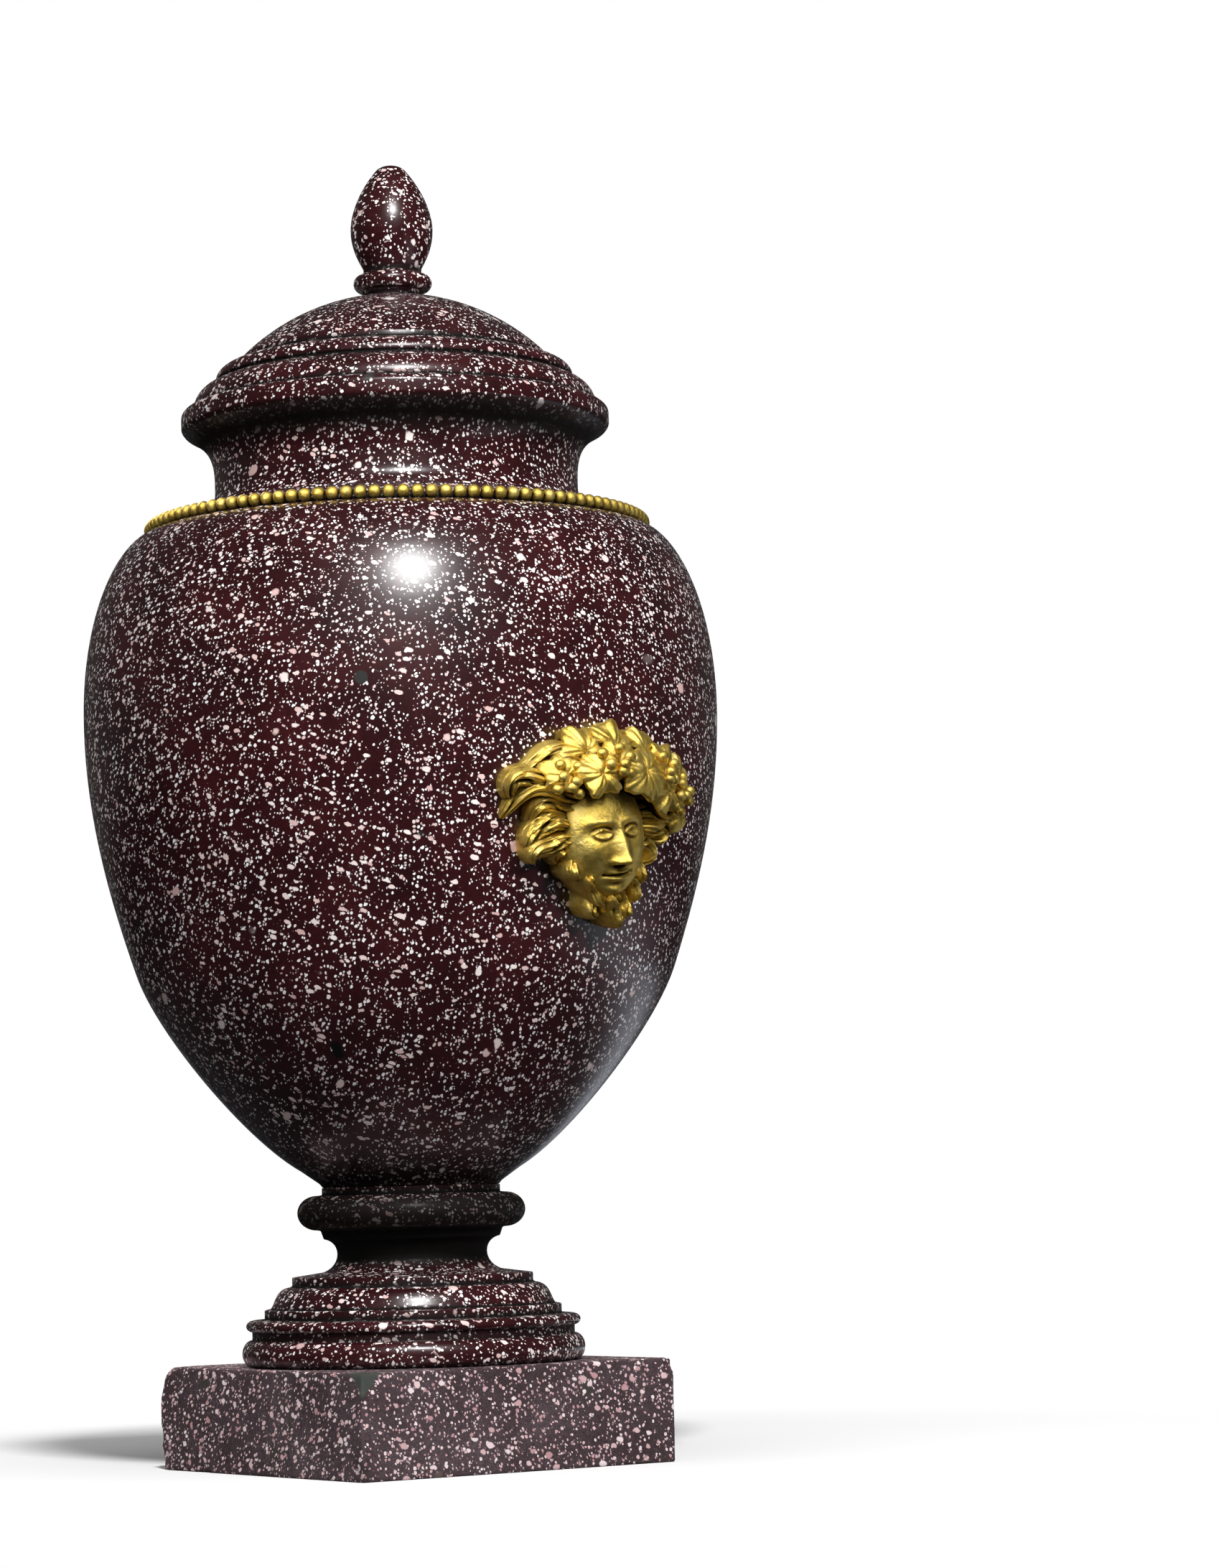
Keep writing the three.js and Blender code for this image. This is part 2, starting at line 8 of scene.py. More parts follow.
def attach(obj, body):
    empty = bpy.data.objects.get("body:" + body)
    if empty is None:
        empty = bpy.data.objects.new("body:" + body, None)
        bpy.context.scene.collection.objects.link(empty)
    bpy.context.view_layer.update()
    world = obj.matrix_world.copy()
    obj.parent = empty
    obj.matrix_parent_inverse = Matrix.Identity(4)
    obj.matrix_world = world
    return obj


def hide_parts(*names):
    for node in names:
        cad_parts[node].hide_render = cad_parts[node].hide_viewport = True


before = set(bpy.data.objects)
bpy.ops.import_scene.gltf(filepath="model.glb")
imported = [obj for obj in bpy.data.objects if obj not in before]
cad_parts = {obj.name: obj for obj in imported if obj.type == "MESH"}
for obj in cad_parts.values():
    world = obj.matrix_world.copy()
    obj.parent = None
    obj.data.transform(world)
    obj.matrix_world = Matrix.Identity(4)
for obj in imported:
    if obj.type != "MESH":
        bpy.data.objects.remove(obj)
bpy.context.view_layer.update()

# Metres in a millimetre, millimetres in a metre, and the way up
TO_METRES = 0.001
TO_MM = 1000
UP = np.array([0, 0, 1.0])

# Joint heights and main sizes in millimetres, the same as the solids'
PLINTH_SIDE = 135.0
PLINTH_TOP = 37.3
FOOT_TOP = 101.5
BEAD_LEDGE = 341.6
RIM_TOP = 389.3
URN_TOP = 481.5
BELLY_RADIUS = 116.72
BELLY_HEIGHT = 275.1
BODY_SEAT = (40, 107.6)
FLANK = [(98.78, 180.25), (107.59, 206.77), (BELLY_RADIUS, 238.33), (BELLY_RADIUS, BELLY_HEIGHT)]
NECK_RADIUS = 67.3
RIM_RADIUS = 79.4
MOUTH_RADIUS = 55.0
WALL = 13.5
FLOOR_HEIGHT = 121.0
DOME_RADIUS = 80.5
DOME_CENTRE = 351.3
DOME_EDGE = 56.5
LID_WALL = 11.0
SPIGOT_OUTER = 53.5
SPIGOT_INNER = 46.5
SPIGOT_DEPTH = 7.5
FINIAL_NECK = 10.9
BEAD_COUNT = 114
BEAD_RADIUS = 2.45
BEAD_RING_RADIUS = 91.3
BEAD_LIFT = 0.3
URN_TURN = math.radians(2.3)
MASK_UP = 46.2
MASK_RADIUS = 111.0
FACE_MIDDLE = -4.0
FACE_HALF_WIDTH = 15.5
FACE_HALF_HEIGHT = 19.0
HEAD_TILT = math.radians(9)
MASK_SPREAD = 1.05

# The masks' root, shallower than the solids', and their grapes, smaller and more than the solids'
MASK_ROOT = -2.0
GRAPE_RADIUS = 1.7

# Turned pieces: steps round and radius of softened corners; such a corner's least bend, most share of a side,
# pull of its curve and steps; and how near two points are one
SEGMENTS = 192
BODY_SEGMENTS = 320
ARRIS = 0.35
BODY_ARRIS = 0.6
SOFT_BEND = math.radians(20)
SOFT_SHARE = 0.45
SOFT_PULL = 0.66
SOFT_STEPS = 4
SAME_POINT = 1e-6

# Edges sharper than these degrees stay sharp on stone, beads and masks
STONE_SHARP = 38
BEAD_SHARP = 80
MASK_SHARP = 50

# Stone patterns in millimetres: the bend of the grains, its pace, clouds of the ground, grit and patches
BEND = 0.7
BENDS_PER_MM = 0.9
CLOUD_SIZE = 26
GRIT_SIZE = 0.6
PATCH_SIZE = 12

# Grains: how they are drawn out, the gap between two of them and their soft edge, both as shares of a cell
GRAIN_STRETCH = (1.0, 1.0, 1.8)
GRAIN_GAP = 0.05
GRAIN_BLUR = 0.08

# Stone surface: tints of patches, of grime and painted shade, and of filler, how much grime and shade dull
# it, depth of its grit, polish
PATCH_TINT = "#34352f"
GRIME_AND_SHADE_TINT = "#0b0a09"
FILLER_TINT = "#3a3d39"
GRIME_AND_SHADE_DULLS = 0.4
GRIT_DEPTH = 0.0002
STONE_IOR = 1.3
WAX_ROUGHNESS = 0.24
WAX_IOR = 1.5

# Gilding: its tones and the staining and painted shade in its hollows, the sizes in millimetres of its tone
# and tooth, the tooth's strength and depth, its least and most roughness, and how much staining and shade
# dull it
GOLD_TONES = [(0.3, "#dcb950"), (0.55, "#e8cb69"), (0.75, "#f0d98a")]
STAIN_AND_SHADE_TINT = "#3a2408"
STAIN_AND_SHADE_FROM = 0.02
STAIN_AND_SHADE_FULL = 0.5
TONE_SIZE = 6
TOOTH_SIZE = 2.2
TOOTH_STRENGTH = 0.5
TOOTH_DEPTH = 0.0008
GOLD_SMOOTH = 0.44
GOLD_DULL = 0.56
STAIN_AND_SHADE_DULLS = 0.25

# Hollows of the gilt work, for staining and painted shade: rounds of smoothing, how many times more for the
# wide ones and their weight, blur
HOLLOW_ROUNDS = 14
WIDE_TIMES = 5
WIDE_WEIGHT = 0.5
HOLLOW_BLUR = 3

# Face: its edge, the dome that it stands on, and the middle of an eye
FACE_EDGE = 1.08
FACE_WIDEN = 1.06
FACE_LENGTHEN = 1.08
FACE_FOOT = 3
FACE_RISE = 14
EYE_ACROSS = 5.3
EYE_UP = 0.1

# Locks: points along and across, strands, where the curl starts and how it tightens, swing from side to side,
# and the depths of the grooves between strands, of finer ones and of a parting
LOCK_POINTS = 46
LOCK_STRANDS = 4
CURL_START = 0.45
CURL_POWER = 1.4
SWING = 0.42
SWING_PACE = 8.5
SWING_START = 0.3
GROOVE = 1.4
FINE_GROOVE = 0.8
PARTING = 1.8

# Leaves: points round the edge, veins and their lengths, the round between lobes, a lobe's half width, lean,
# how far the stalk stands from the middle, and the height on the mask that they lean away from
LEAF_POINTS = 120
LEAF_VEINS = np.radians([0, 64, -64, 130, -130])[:, None, None]
LEAF_LONG = np.array([1.02, 0.92, 0.92, 0.76, 0.76])[:, None, None]
LEAF_ROUND = 0.62
LEAF_LOBE = 0.44
LEAF_LEAN = 0.4
LEAF_STALK = 0.2
LEAF_CENTRE = 2

# Rings of a leaf from its stalk over the blade and down its edge: share of the reach, drop below the blade.
# The last ring goes down to the root.
LEAF_OVER = np.array([
    0.03, 0.12, 0.24, 0.38, 0.52, 0.66, 0.78, 0.88, 0.95, 1, 1, 0.97, 0.93, 0.89, 0.86])[:, None]
LEAF_DROP = np.array([0, 0, 0, 0, 0, 0, 0, 0, 0.1, 0.6, 1.5, 2.3, 2.9, 3.6, np.inf])[:, None]

# Bunches: grapes in each, their spacing in grape radii, and the turn from one to the next
BUNCH_GRAPES = 9
GRAPE_SPACING = 1.25
GRAPE_TURN = 2.4

# Camera, as the photograph was taken
CAMERA_ROUND = math.radians(56.145)
CAMERA_DISTANCE = 1645.7
CAMERA_HEIGHT = 96.13
CAMERA_YAW = math.radians(-2.6584)
CAMERA_PITCH = math.radians(5.26094)
CAMERA_ROLL = math.radians(-1.4041)
FOCAL_PIXELS = 6227.47
PHOTO_HEIGHT = 2184
SENSOR = 36.0

# Floor: half its side in metres, where it fades to white, and its whiteness. In reflections it is dark, with
# a pale band behind and right of the urn: weights of back and right, where it starts and ends in metres, dark
# and pale levels, and tint
FLOOR_HALF = 6
FADE_FROM = 0.28
FADE_TO = 0.4
PAPER_WHITE = (0.95, 0.95, 0.95, 1)
BAND_BACK = 0.5
BAND_RIGHT = 0.85
BAND_START = (0.29, 0.47)
BAND_END = (0.55, 0.9)
BAND_DARK = 0.03
BAND_PALE = 0.75
BAND_TINT = (0.86, 0.9, 1.0)

# Surround: degrees right of the camera and up of its bright lobe, the lobe's rise and its levels
LOBE_PLACE = (6, 30)
LOBE_RISE = (0.84, 0.99)
LOBE_LEVELS = (0.052, 0.4)
WHITE = (1, 1, 1, 1)

# Lights: name, degrees right of the camera and up, distance, size, watts, whether it is mirrored, and what it
# lights. All look at one place on the urn.
LIGHT_AIM = np.array([0, 0, 300.0])
LIGHTS = [
    ("soft_box", 5.6, 40.5, 2500, 600, 40, True, "stone"),
    ("key_light", 5.6, 40.5, 2500, 440, 15, False, "stone"),
    ("low_light", 38, 20, 2000, 300, 34, False, "urn"),
    ("left_light", -26, 22, 2000, 600, 18, False, "urn"),
    ("plinth_light", -56, 10, 1700, 700, 11, False, "plinth"),
    ("gilt_light", 20, 38, 1300, 1500, 17, True, "gilt"),
    ("gilt_left_light", -32, 34, 1500, 1500, 26, True, "gilt"),
    ("back_light", 186, 40, 2500, 480, 58, False, "urn"),
    ("back_low_light", 218, 20, 2000, 300, 34, False, "urn"),
    ("back_left_light", 150, 22, 2000, 600, 18, False, "urn"),
    ("back_gilt_light", 200, 38, 1300, 1100, 22, True, "gilt"),
    ("floor_key_light", 7, 50, 2500, 300, 64, False, "floor"),
    ("floor_light", 0, 75, 1500, 1500, 14, False, "floor"),
]


# Profiles

def bezier(a, b, c, d, steps):
    """Points of a cubic curve: each is the four corners weighted by the cubic Bernstein terms."""
    t = np.linspace(0, 1, steps + 1)[:, None]
    a, b, c, d = (np.array(p, float) for p in (a, b, c, d))
    return (1 - t) ** 3 * a + 3 * (1 - t) ** 2 * t * b + 3 * (1 - t) * t ** 2 * c + t ** 3 * d


def arc(r, z, half_width, half_height, start, end, steps):
    """Points of an ellipse about (r, z), from one angle in degrees to another."""
    t = np.radians(np.linspace(start, end, steps + 1))
    return np.stack([r + half_width * np.cos(t), z + half_height * np.sin(t)], -1)


def soften(profile, radius):
    """Each corner sharper than SOFT_BEND becomes a short curve that starts and ends radius from it."""
    out = [profile[:1]]
    for before, corner, after in zip(profile[:-2], profile[1:-1], profile[2:]):
        to, on = corner - before, after - corner
        long_to, long_on = np.linalg.norm(to), np.linalg.norm(on)
        bend = abs(math.atan2(to[0] * on[1] - to[1] * on[0], to @ on))
        if bend < SOFT_BEND:
            out.append(corner[None])
            continue
        first = corner - to / long_to * min(radius, long_to * SOFT_SHARE)
        last = corner + on / long_on * min(radius, long_on * SOFT_SHARE)
        pulls = [end + (corner - end) * SOFT_PULL for end in (first, last)]
        out.append(bezier(first, *pulls, last, SOFT_STEPS))
    out.append(profile[-1:])
    return np.concatenate(out)


def profile_of(*stretches):
    """Stretches of points, or single points, joined into one line with doubled points dropped."""
    points = np.concatenate([np.atleast_2d(np.array(s, float)) for s in stretches])
    keep = np.append(True, np.linalg.norm(np.diff(points, axis=0), axis=1) > SAME_POINT)
    return points[keep]


# Meshes

def mesh_of(name, points, faces):
    """A mesh from points in millimetres and blocks of faces."""
    mesh = bpy.data.meshes.new(name)
    mesh.from_pydata((points * TO_METRES).tolist(), [], [f for block in faces for f in block.tolist()])
    return mesh


def stand_in(name, mesh, material, node_name, sharp):
    """An object at the origin in place of a node, smooth but for edges over "sharp" degrees."""
    mesh.polygons.foreach_set("use_smooth", np.ones(len(mesh.polygons), bool))
    mesh.set_sharp_from_angle(angle=math.radians(sharp))
    mesh.materials.append(material)
    obj = bpy.data.objects.new(name, mesh)
    bpy.context.collection.objects.link(obj)
    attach(obj, "root")
    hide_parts(node_name)
    return obj


def mark(obj, name, values):
    """Gives each point of an object a value that its material reads by name."""
    layer = obj.data.attributes.new(name, "FLOAT", "POINT")
    layer.data.foreach_set("value", values.astype(np.float32))


def vertex_values(mesh, what):
    """The places ("co") or normals of a mesh's points, as rows of three."""
    values = np.empty(len(mesh.vertices) * 3)
    mesh.vertices.foreach_get(what, values)
    return values.reshape(-1, 3)


def grid_faces(rows, columns, wrap=True):
    """Quads between neighbouring points of a grid, joined across its last column where it wraps."""
    i = np.arange(rows - 1)[:, None] * columns
    j = np.arange(columns if wrap else columns - 1)[None]
    k = (j + 1) % columns
    return np.stack([i + j, i + k, i + columns + k, i + columns + j], -1).reshape(-1, 4)


def closed_faces(rows, columns):
    """Faces of a wrapped grid and of the fans from its first and last row to the two points after it."""
    j = np.arange(columns)
    k = (j + 1) % columns
    last = (rows - 1) * columns
    fans = np.concatenate([
        np.stack([np.full(columns, rows * columns), k, j], -1),
        np.stack([np.full(columns, rows * columns + 1), last + j, last + k], -1)])
    return [grid_faces(rows, columns), fans]


def turned(profile, segments):
    """Radius and height carried round Z, as (r cos a, r sin a, z), with one point at each end on the axis."""
    a = np.arange(segments) / segments * 2 * np.pi + URN_TURN
    line = profile[1:-1]
    r = line[:, :1]
    ring = np.stack([r * np.cos(a), r * np.sin(a), np.repeat(line[:, 1:], segments, 1)], -1)
    points = np.concatenate([ring.reshape(-1, 3), [[0, 0, profile[0, 1]], [0, 0, profile[-1, 1]]]])
    return points, closed_faces(len(line), segments)


# Materials

def linear(hex_colour):
    """An sRGB hex value as linear RGBA."""
    c = np.array([int(hex_colour[i:i + 2], 16) for i in (1, 3, 5)]) / 255
    c = np.where(c <= 0.04045, c / 12.92, ((c + 0.055) / 1.055) ** 2.4)
    return (*c.tolist(), 1.0)


def node(tree, kind, inputs=(), stops=(), **settings):
    """Adds a node, sets its settings and colour stops, and links or sets each named or numbered input."""
    made = tree.nodes.new(kind)
    while len(stops) > len(made.color_ramp.elements if stops else ()):
        made.color_ramp.elements.new(0.5)
    for number, (position, colour) in enumerate(stops):
        made.color_ramp.elements[number].position = position
        made.color_ramp.elements[number].color = linear(colour)
    for key, value in settings.items():
        setattr(made, key, value)
    for key, value in dict(inputs).items():
        socket = made.inputs[key]
        if isinstance(value, bpy.types.NodeSocket):
            tree.links.new(value, socket)
        else:
            socket.default_value = value
    return made


def new_material(name):
    """A material with an empty node tree, and the tree."""
    material = bpy.data.materials.new(name)
    material.use_nodes = True
    tree = material.node_tree
    tree.nodes.clear()
    return material, tree


def porphyry(name, ground, layers, patches, roughness, polished, pits, spots=()):
    """Red porphyry: a fine dark ground crowded with small angular feldspar grains cut through by the surface.

    Each grain layer is a Voronoi field of one grain size on a slightly bent, drawn-out position. A cell holds
    a grain where its own random value passes the layer's share. The grain is the cell drawn in from its edges
    and rounded off at a reach set by another of its random values. Spots are single dark marks: a bent ball
    about a place, of a given half size in millimetres and tint.
    """
    material, tree = new_material(name)
    place = node(tree, "ShaderNodeTexCoord").outputs["Object"]
    mm = node(tree, "ShaderNodeVectorMath", {0: place, 1: (TO_MM,) * 3}, operation="MULTIPLY").outputs[0]
    warp = node(tree, "ShaderNodeTexNoise", {
        "Vector": mm, "Scale": BENDS_PER_MM, "Detail": 2.0}).outputs["Color"]
    shift = node(tree, "ShaderNodeVectorMath", {0: warp, 1: (0.5,) * 3}, operation="SUBTRACT").outputs[0]
    bent = node(tree, "ShaderNodeVectorMath", {
        0: shift, 1: (BEND,) * 3, 2: mm}, operation="MULTIPLY_ADD").outputs[0]
    clouds = node(tree, "ShaderNodeTexNoise", {
        "Vector": mm, "Scale": 1 / CLOUD_SIZE, "Detail": 5.0, "Roughness": 0.6}).outputs[0]
    colour = node(tree, "ShaderNodeValToRGB", {0: clouds}, stops=ground).outputs[0]
    grit = node(tree, "ShaderNodeTexNoise", {"Vector": mm, "Scale": 1 / GRIT_SIZE, "Detail": 3.0}).outputs[0]
    grit = node(tree, "ShaderNodeMapRange", {0: grit, 1: 0.3, 2: 0.7, 3: 0.6, 4: 1.4}).outputs[0]
    colour = node(tree, "ShaderNodeVectorMath", {0: colour, "Scale": grit}, operation="SCALE").outputs[0]
    patch = node(tree, "ShaderNodeTexNoise", {
        "Vector": bent, "Scale": 1 / PATCH_SIZE, "Detail": 4.0, "Roughness": 0.7}).outputs[0]
    patch = node(tree, "ShaderNodeMapRange", {0: patch, 1: patches, 2: patches + 0.06, 4: 0.75}).outputs[0]
    colour = node(tree, "ShaderNodeMix", {
        0: patch, 6: colour, 7: linear(PATCH_TINT)}, data_type="RGBA").outputs[2]
    for number, (size, share, reach, tints) in enumerate(layers):
        flow = (0.5 + 0.7 * number, 0.45 - 0.5 * number, 0.2 + 1.1 * number)
        aside = (17.0 * number, 5.0, 0.0)
        laid = node(tree, "ShaderNodeMapping", {
            "Vector": bent, "Rotation": flow, "Location": aside, "Scale": GRAIN_STRETCH},
            vector_type="TEXTURE").outputs[0]
        cell = {"Vector": laid, "Scale": 1 / size, "Randomness": 1.0}
        cells = node(tree, "ShaderNodeTexVoronoi", cell)
        rim = node(tree, "ShaderNodeTexVoronoi", cell, feature="DISTANCE_TO_EDGE").outputs["Distance"]
        chance = node(tree, "ShaderNodeSeparateColor", {0: cells.outputs["Color"]}).outputs
        edge = node(tree, "ShaderNodeMapRange", {0: chance[2], 3: reach * 0.5, 4: reach}).outputs[0]
        round_off = node(tree, "ShaderNodeMath", {
            0: edge, 1: cells.outputs["Distance"]}, operation="SUBTRACT").outputs[0]
        draw_in = node(tree, "ShaderNodeMath", {0: rim, 1: GRAIN_GAP}, operation="SUBTRACT").outputs[0]
        inside = node(tree, "ShaderNodeMath", {0: round_off, 1: draw_in}, operation="MINIMUM").outputs[0]
        inside = node(tree, "ShaderNodeMapRange", {0: inside, 1: 0.0, 2: GRAIN_BLUR}).outputs[0]
        held = node(tree, "ShaderNodeMath", {0: chance[0], 1: 1 - share}, operation="GREATER_THAN").outputs[0]
        grain = node(tree, "ShaderNodeMath", {0: inside, 1: held}, operation="MULTIPLY").outputs[0]
        tint = node(tree, "ShaderNodeValToRGB", {0: chance[1]}, stops=tints).outputs[0]
        colour = node(tree, "ShaderNodeMix", {0: grain, 6: colour, 7: tint}, data_type="RGBA").outputs[2]
    for middle, half, tint in spots:
        off = node(tree, "ShaderNodeVectorMath", {0: bent, 1: middle}, operation="DISTANCE").outputs["Value"]
        spot = node(tree, "ShaderNodeMapRange", {0: off, 1: half * 0.8, 2: half, 3: 1.0, 4: 0.0}).outputs[0]
        colour = node(tree, "ShaderNodeMix", {
            0: spot, 6: colour, 7: linear(tint)}, data_type="RGBA").outputs[2]
    # Grime and painted shade: a near-black tint on grooves, joints and overhung parts, which also dulls the
    # stone and takes off its polish; then the filler's tint
    settled = node(tree, "ShaderNodeAttribute", attribute_name="settled").outputs["Fac"]
    filler = node(tree, "ShaderNodeAttribute", attribute_name="filler").outputs["Fac"]
    filler = node(tree, "ShaderNodeMapRange", {0: filler, 1: 0.4, 2: 0.6}).outputs[0]
    for cover, tint in ((settled, GRIME_AND_SHADE_TINT), (filler, FILLER_TINT)):
        colour = node(tree, "ShaderNodeMix", {
            0: cover, 6: colour, 7: linear(tint)}, data_type="RGBA").outputs[2]
    dull = node(tree, "ShaderNodeMapRange", {
        0: clouds, 1: 0.3, 2: 0.7, 3: roughness * 0.9, 4: roughness * 1.15}).outputs[0]
    dull = node(tree, "ShaderNodeMath", {
        0: settled, 1: GRIME_AND_SHADE_DULLS, 2: dull}, operation="MULTIPLY_ADD").outputs[0]
    bump = node(tree, "ShaderNodeBump", {"Height": grit, "Strength": pits, "Distance": GRIT_DEPTH}).outputs[0]
    gloss = 0.0
    if polished:
        gloss = node(tree, "ShaderNodeMapRange", {0: settled, 3: polished, 4: 0.0}).outputs[0]
    shader = node(tree, "ShaderNodeBsdfPrincipled", {
        "Base Color": colour, "Roughness": dull, "Normal": bump, "IOR": STONE_IOR,
        "Coat Weight": gloss, "Coat Roughness": WAX_ROUGHNESS, "Coat IOR": WAX_IOR})
    node(tree, "ShaderNodeOutputMaterial", {0: shader.outputs[0]})
    return material


def gilding(name):
    """Fire-gilt bronze: bright and smooth where burnished, darker, browner and duller in its hollows by
    staining and painted shade.
    """
    material, tree = new_material(name)
    place = node(tree, "ShaderNodeTexCoord").outputs["Object"]
    mm = node(tree, "ShaderNodeVectorMath", {0: place, 1: (TO_MM,) * 3}, operation="MULTIPLY").outputs[0]
    hollow = node(tree, "ShaderNodeAttribute", attribute_name="hollow").outputs["Fac"]
    tone = node(tree, "ShaderNodeTexNoise", {
        "Vector": mm, "Scale": 1 / TONE_SIZE, "Detail": 4.0, "Roughness": 0.6}).outputs[0]
    gold = node(tree, "ShaderNodeValToRGB", {0: tone}, stops=GOLD_TONES).outputs[0]
    # Staining and painted shade: the hollows turn dark brown and duller
    stain_and_shade = node(tree, "ShaderNodeMapRange", {0: hollow, 1: STAIN_AND_SHADE_FROM, 2: STAIN_AND_SHADE_FULL}).outputs[0]
    colour = node(tree, "ShaderNodeMix", {
        0: stain_and_shade, 6: gold, 7: linear(STAIN_AND_SHADE_TINT)}, data_type="RGBA").outputs[2]
    tooth = node(tree, "ShaderNodeTexNoise", {
        "Vector": mm, "Scale": 1 / TOOTH_SIZE, "Detail": 3.0, "Roughness": 0.55}).outputs[0]
    dull = node(tree, "ShaderNodeMapRange", {
        0: tone, 1: 0.3, 2: 0.7, 3: GOLD_SMOOTH, 4: GOLD_DULL}).outputs[0]
    dull = node(tree, "ShaderNodeMath", {
        0: stain_and_shade, 1: STAIN_AND_SHADE_DULLS, 2: dull}, operation="MULTIPLY_ADD").outputs[0]
    bump = node(tree, "ShaderNodeBump", {
        "Height": tooth, "Strength": TOOTH_STRENGTH, "Distance": TOOTH_DEPTH}).outputs[0]
    shader = node(tree, "ShaderNodeBsdfPrincipled", {
        "Base Color": colour, "Roughness": dull, "Normal": bump, "Metallic": 1.0})
    node(tree, "ShaderNodeOutputMaterial", {0: shader.outputs[0]})
    return material


# Colours of the grains, by each grain's own chance: white, cream, duller pink, and dark
WHITE_GRAINS = [(0.0, "#e2e2e2"), (0.6, "#dad4d3"), (0.9, "#cbb2af")]
CREAM_GRAINS = [(0.0, "#dfd6d2"), (0.6, "#d3bfba"), (0.9, "#c4a29f")]
PINK_GRAINS = [(0.0, "#d0c2c3"), (0.5, "#c2a6a8"), (0.9, "#a47f82")]
DARK_GRAINS = [(0.0, "#1b1d1b"), (0.6, "#2d2f2d"), (0.9, "#5a4c4a")]

# Chips in the urn's surface: place and half size in millimetres, and tint
CHIP_SPOTS = [((50.6, -64.3, 150.4), 2.3, "#060706"), ((49.9, -62.8, 148.0), 2.3, "#060706"),
              ((88.6, -75.8, 275.8), 2.6, "#2a2a29")]

# Polished urn stone: deep burgundy ground, grains of about 0.5 to 5 mm, bright polish. A layer of grains has
# a cell size in millimetres, the share of cells that hold a grain, a grain's reach in its cell, and colours.
urn_stone = porphyry(
    "polished_porphyry",
    ground=[(0.3, "#1f080a"), (0.5, "#290b0e"), (0.7, "#341013")],
    layers=[(0.8, 0.26, 0.5, WHITE_GRAINS), (1.4, 0.37, 0.52, WHITE_GRAINS), (2.2, 0.2, 0.49, CREAM_GRAINS),
            (4.8, 0.04, 0.42, CREAM_GRAINS), (15.0, 0.16, 0.15, DARK_GRAINS)],
    patches=0.7, roughness=0.34, polished=1.0, pits=0.03, spots=CHIP_SPOTS)

# Honed plinth stone: greyer ground, pinker grains of about 0.5 to 4 mm, a dull sheen
plinth_stone = porphyry(
    "honed_porphyry",
    ground=[(0.3, "#342a2c"), (0.5, "#403538"), (0.7, "#4a3f42")],
    layers=[(0.9, 0.34, 0.5, PINK_GRAINS), (1.6, 0.48, 0.52, PINK_GRAINS), (2.9, 0.26, 0.48, PINK_GRAINS),
            (12.0, 0.2, 0.2, DARK_GRAINS)],
    patches=0.62, roughness=0.42, polished=0.0, pits=0.12)

gilt = gilding("gilt_bronze")


# Turned stone

def paint_grime_and_shade(obj, places):
    """Grime and painted shade in sheltered parts: a sum of bell curves in height.

    Each place gives its height, half height, least and most radius in millimetres, and strength.
    """
    points = vertex_values(obj.data, "co") * TO_MM
    r = np.hypot(points[:, 0], points[:, 1])
    darkening = np.zeros(len(points))
    for height, half, least, most, strength in places:
        darkening += strength * np.exp(-((points[:, 2] - height) / half) ** 2) * ((r > least) & (r < most))
    mark(obj, "settled", np.clip(darkening, 0, 1))


def stone_piece(name, line, arris, segments, node_name, places):
    """A piece of urn stone turned from a line with softened corners, with grime and painted shade in the
    given places.
    """
    mesh = mesh_of(name, *turned(soften(line, arris), segments))
    paint_grime_and_shade(stand_in(name, mesh, urn_stone, node_name, STONE_SHARP), places)


def foot():
    """Foot: tori, fillets, cyma and scotia turned from one line."""
    line = profile_of(
        (0, PLINTH_TOP), (60.1, PLINTH_TOP),
        arc(58.8, 42, 3.7, 4.9, -62, 90, 20), (58.8, 49.7),
        arc(58.3, 51.9, 2.7, 2.1, -80, 90, 14), (54.2, 54.4), (54.2, 57.6),
        bezier((52, 58), (50.2, 60), (50.3, 65.2), (44.8, 65.7), 20), (44, 66.2), (44, 69.2),
        bezier((32.6, 70.8), (25.6, 73.2), (25.8, 81.8), (32.2, 82.8), 24), (33.3, 85.9),
        arc(34.6, 92.4, 7.1, 6.3, -90, 90, 28), (32.6, 98.9), (32.6, FOOT_TOP), (0, FOOT_TOP))
    # Grooves and joints hold grime; the scotia and the torus under the body's overhang get painted shade
    stone_piece("foot_stone", line, ARRIS, SEGMENTS, "foot", [
        (48.3, 1.9, 0, 59.8, 1), (54.6, 1.1, 0, 57, 1), (58, 0.9, 0, 53, 1), (66.1, 1, 0, 45.2, 1),
        (78, 6.5, 0, 36, 1.2), (85, 2.5, 0, 38, 1), (96, 5, 0, 44, 0.85), (88.5, 4.5, 36, 44, 0.8),
        (99.6, 1.6, 0, 36, 1), (PLINTH_TOP, 1.4, 57, 70, 1)])


def body_outline(steps):
    """The body's outer line from its seat on the foot to the bead ledge."""
    low = bezier(BODY_SEAT, (59.81, 119.28), (91.63, 158.73), FLANK[0], steps)
    flank = bezier(*FLANK, steps)
    shoulder = bezier(FLANK[-1], (BELLY_RADIUS, 312.6), (104.1, 337.9), (93.4, BEAD_LEDGE), steps)
    return np.concatenate([low, flank[1:], shoulder[1:]])


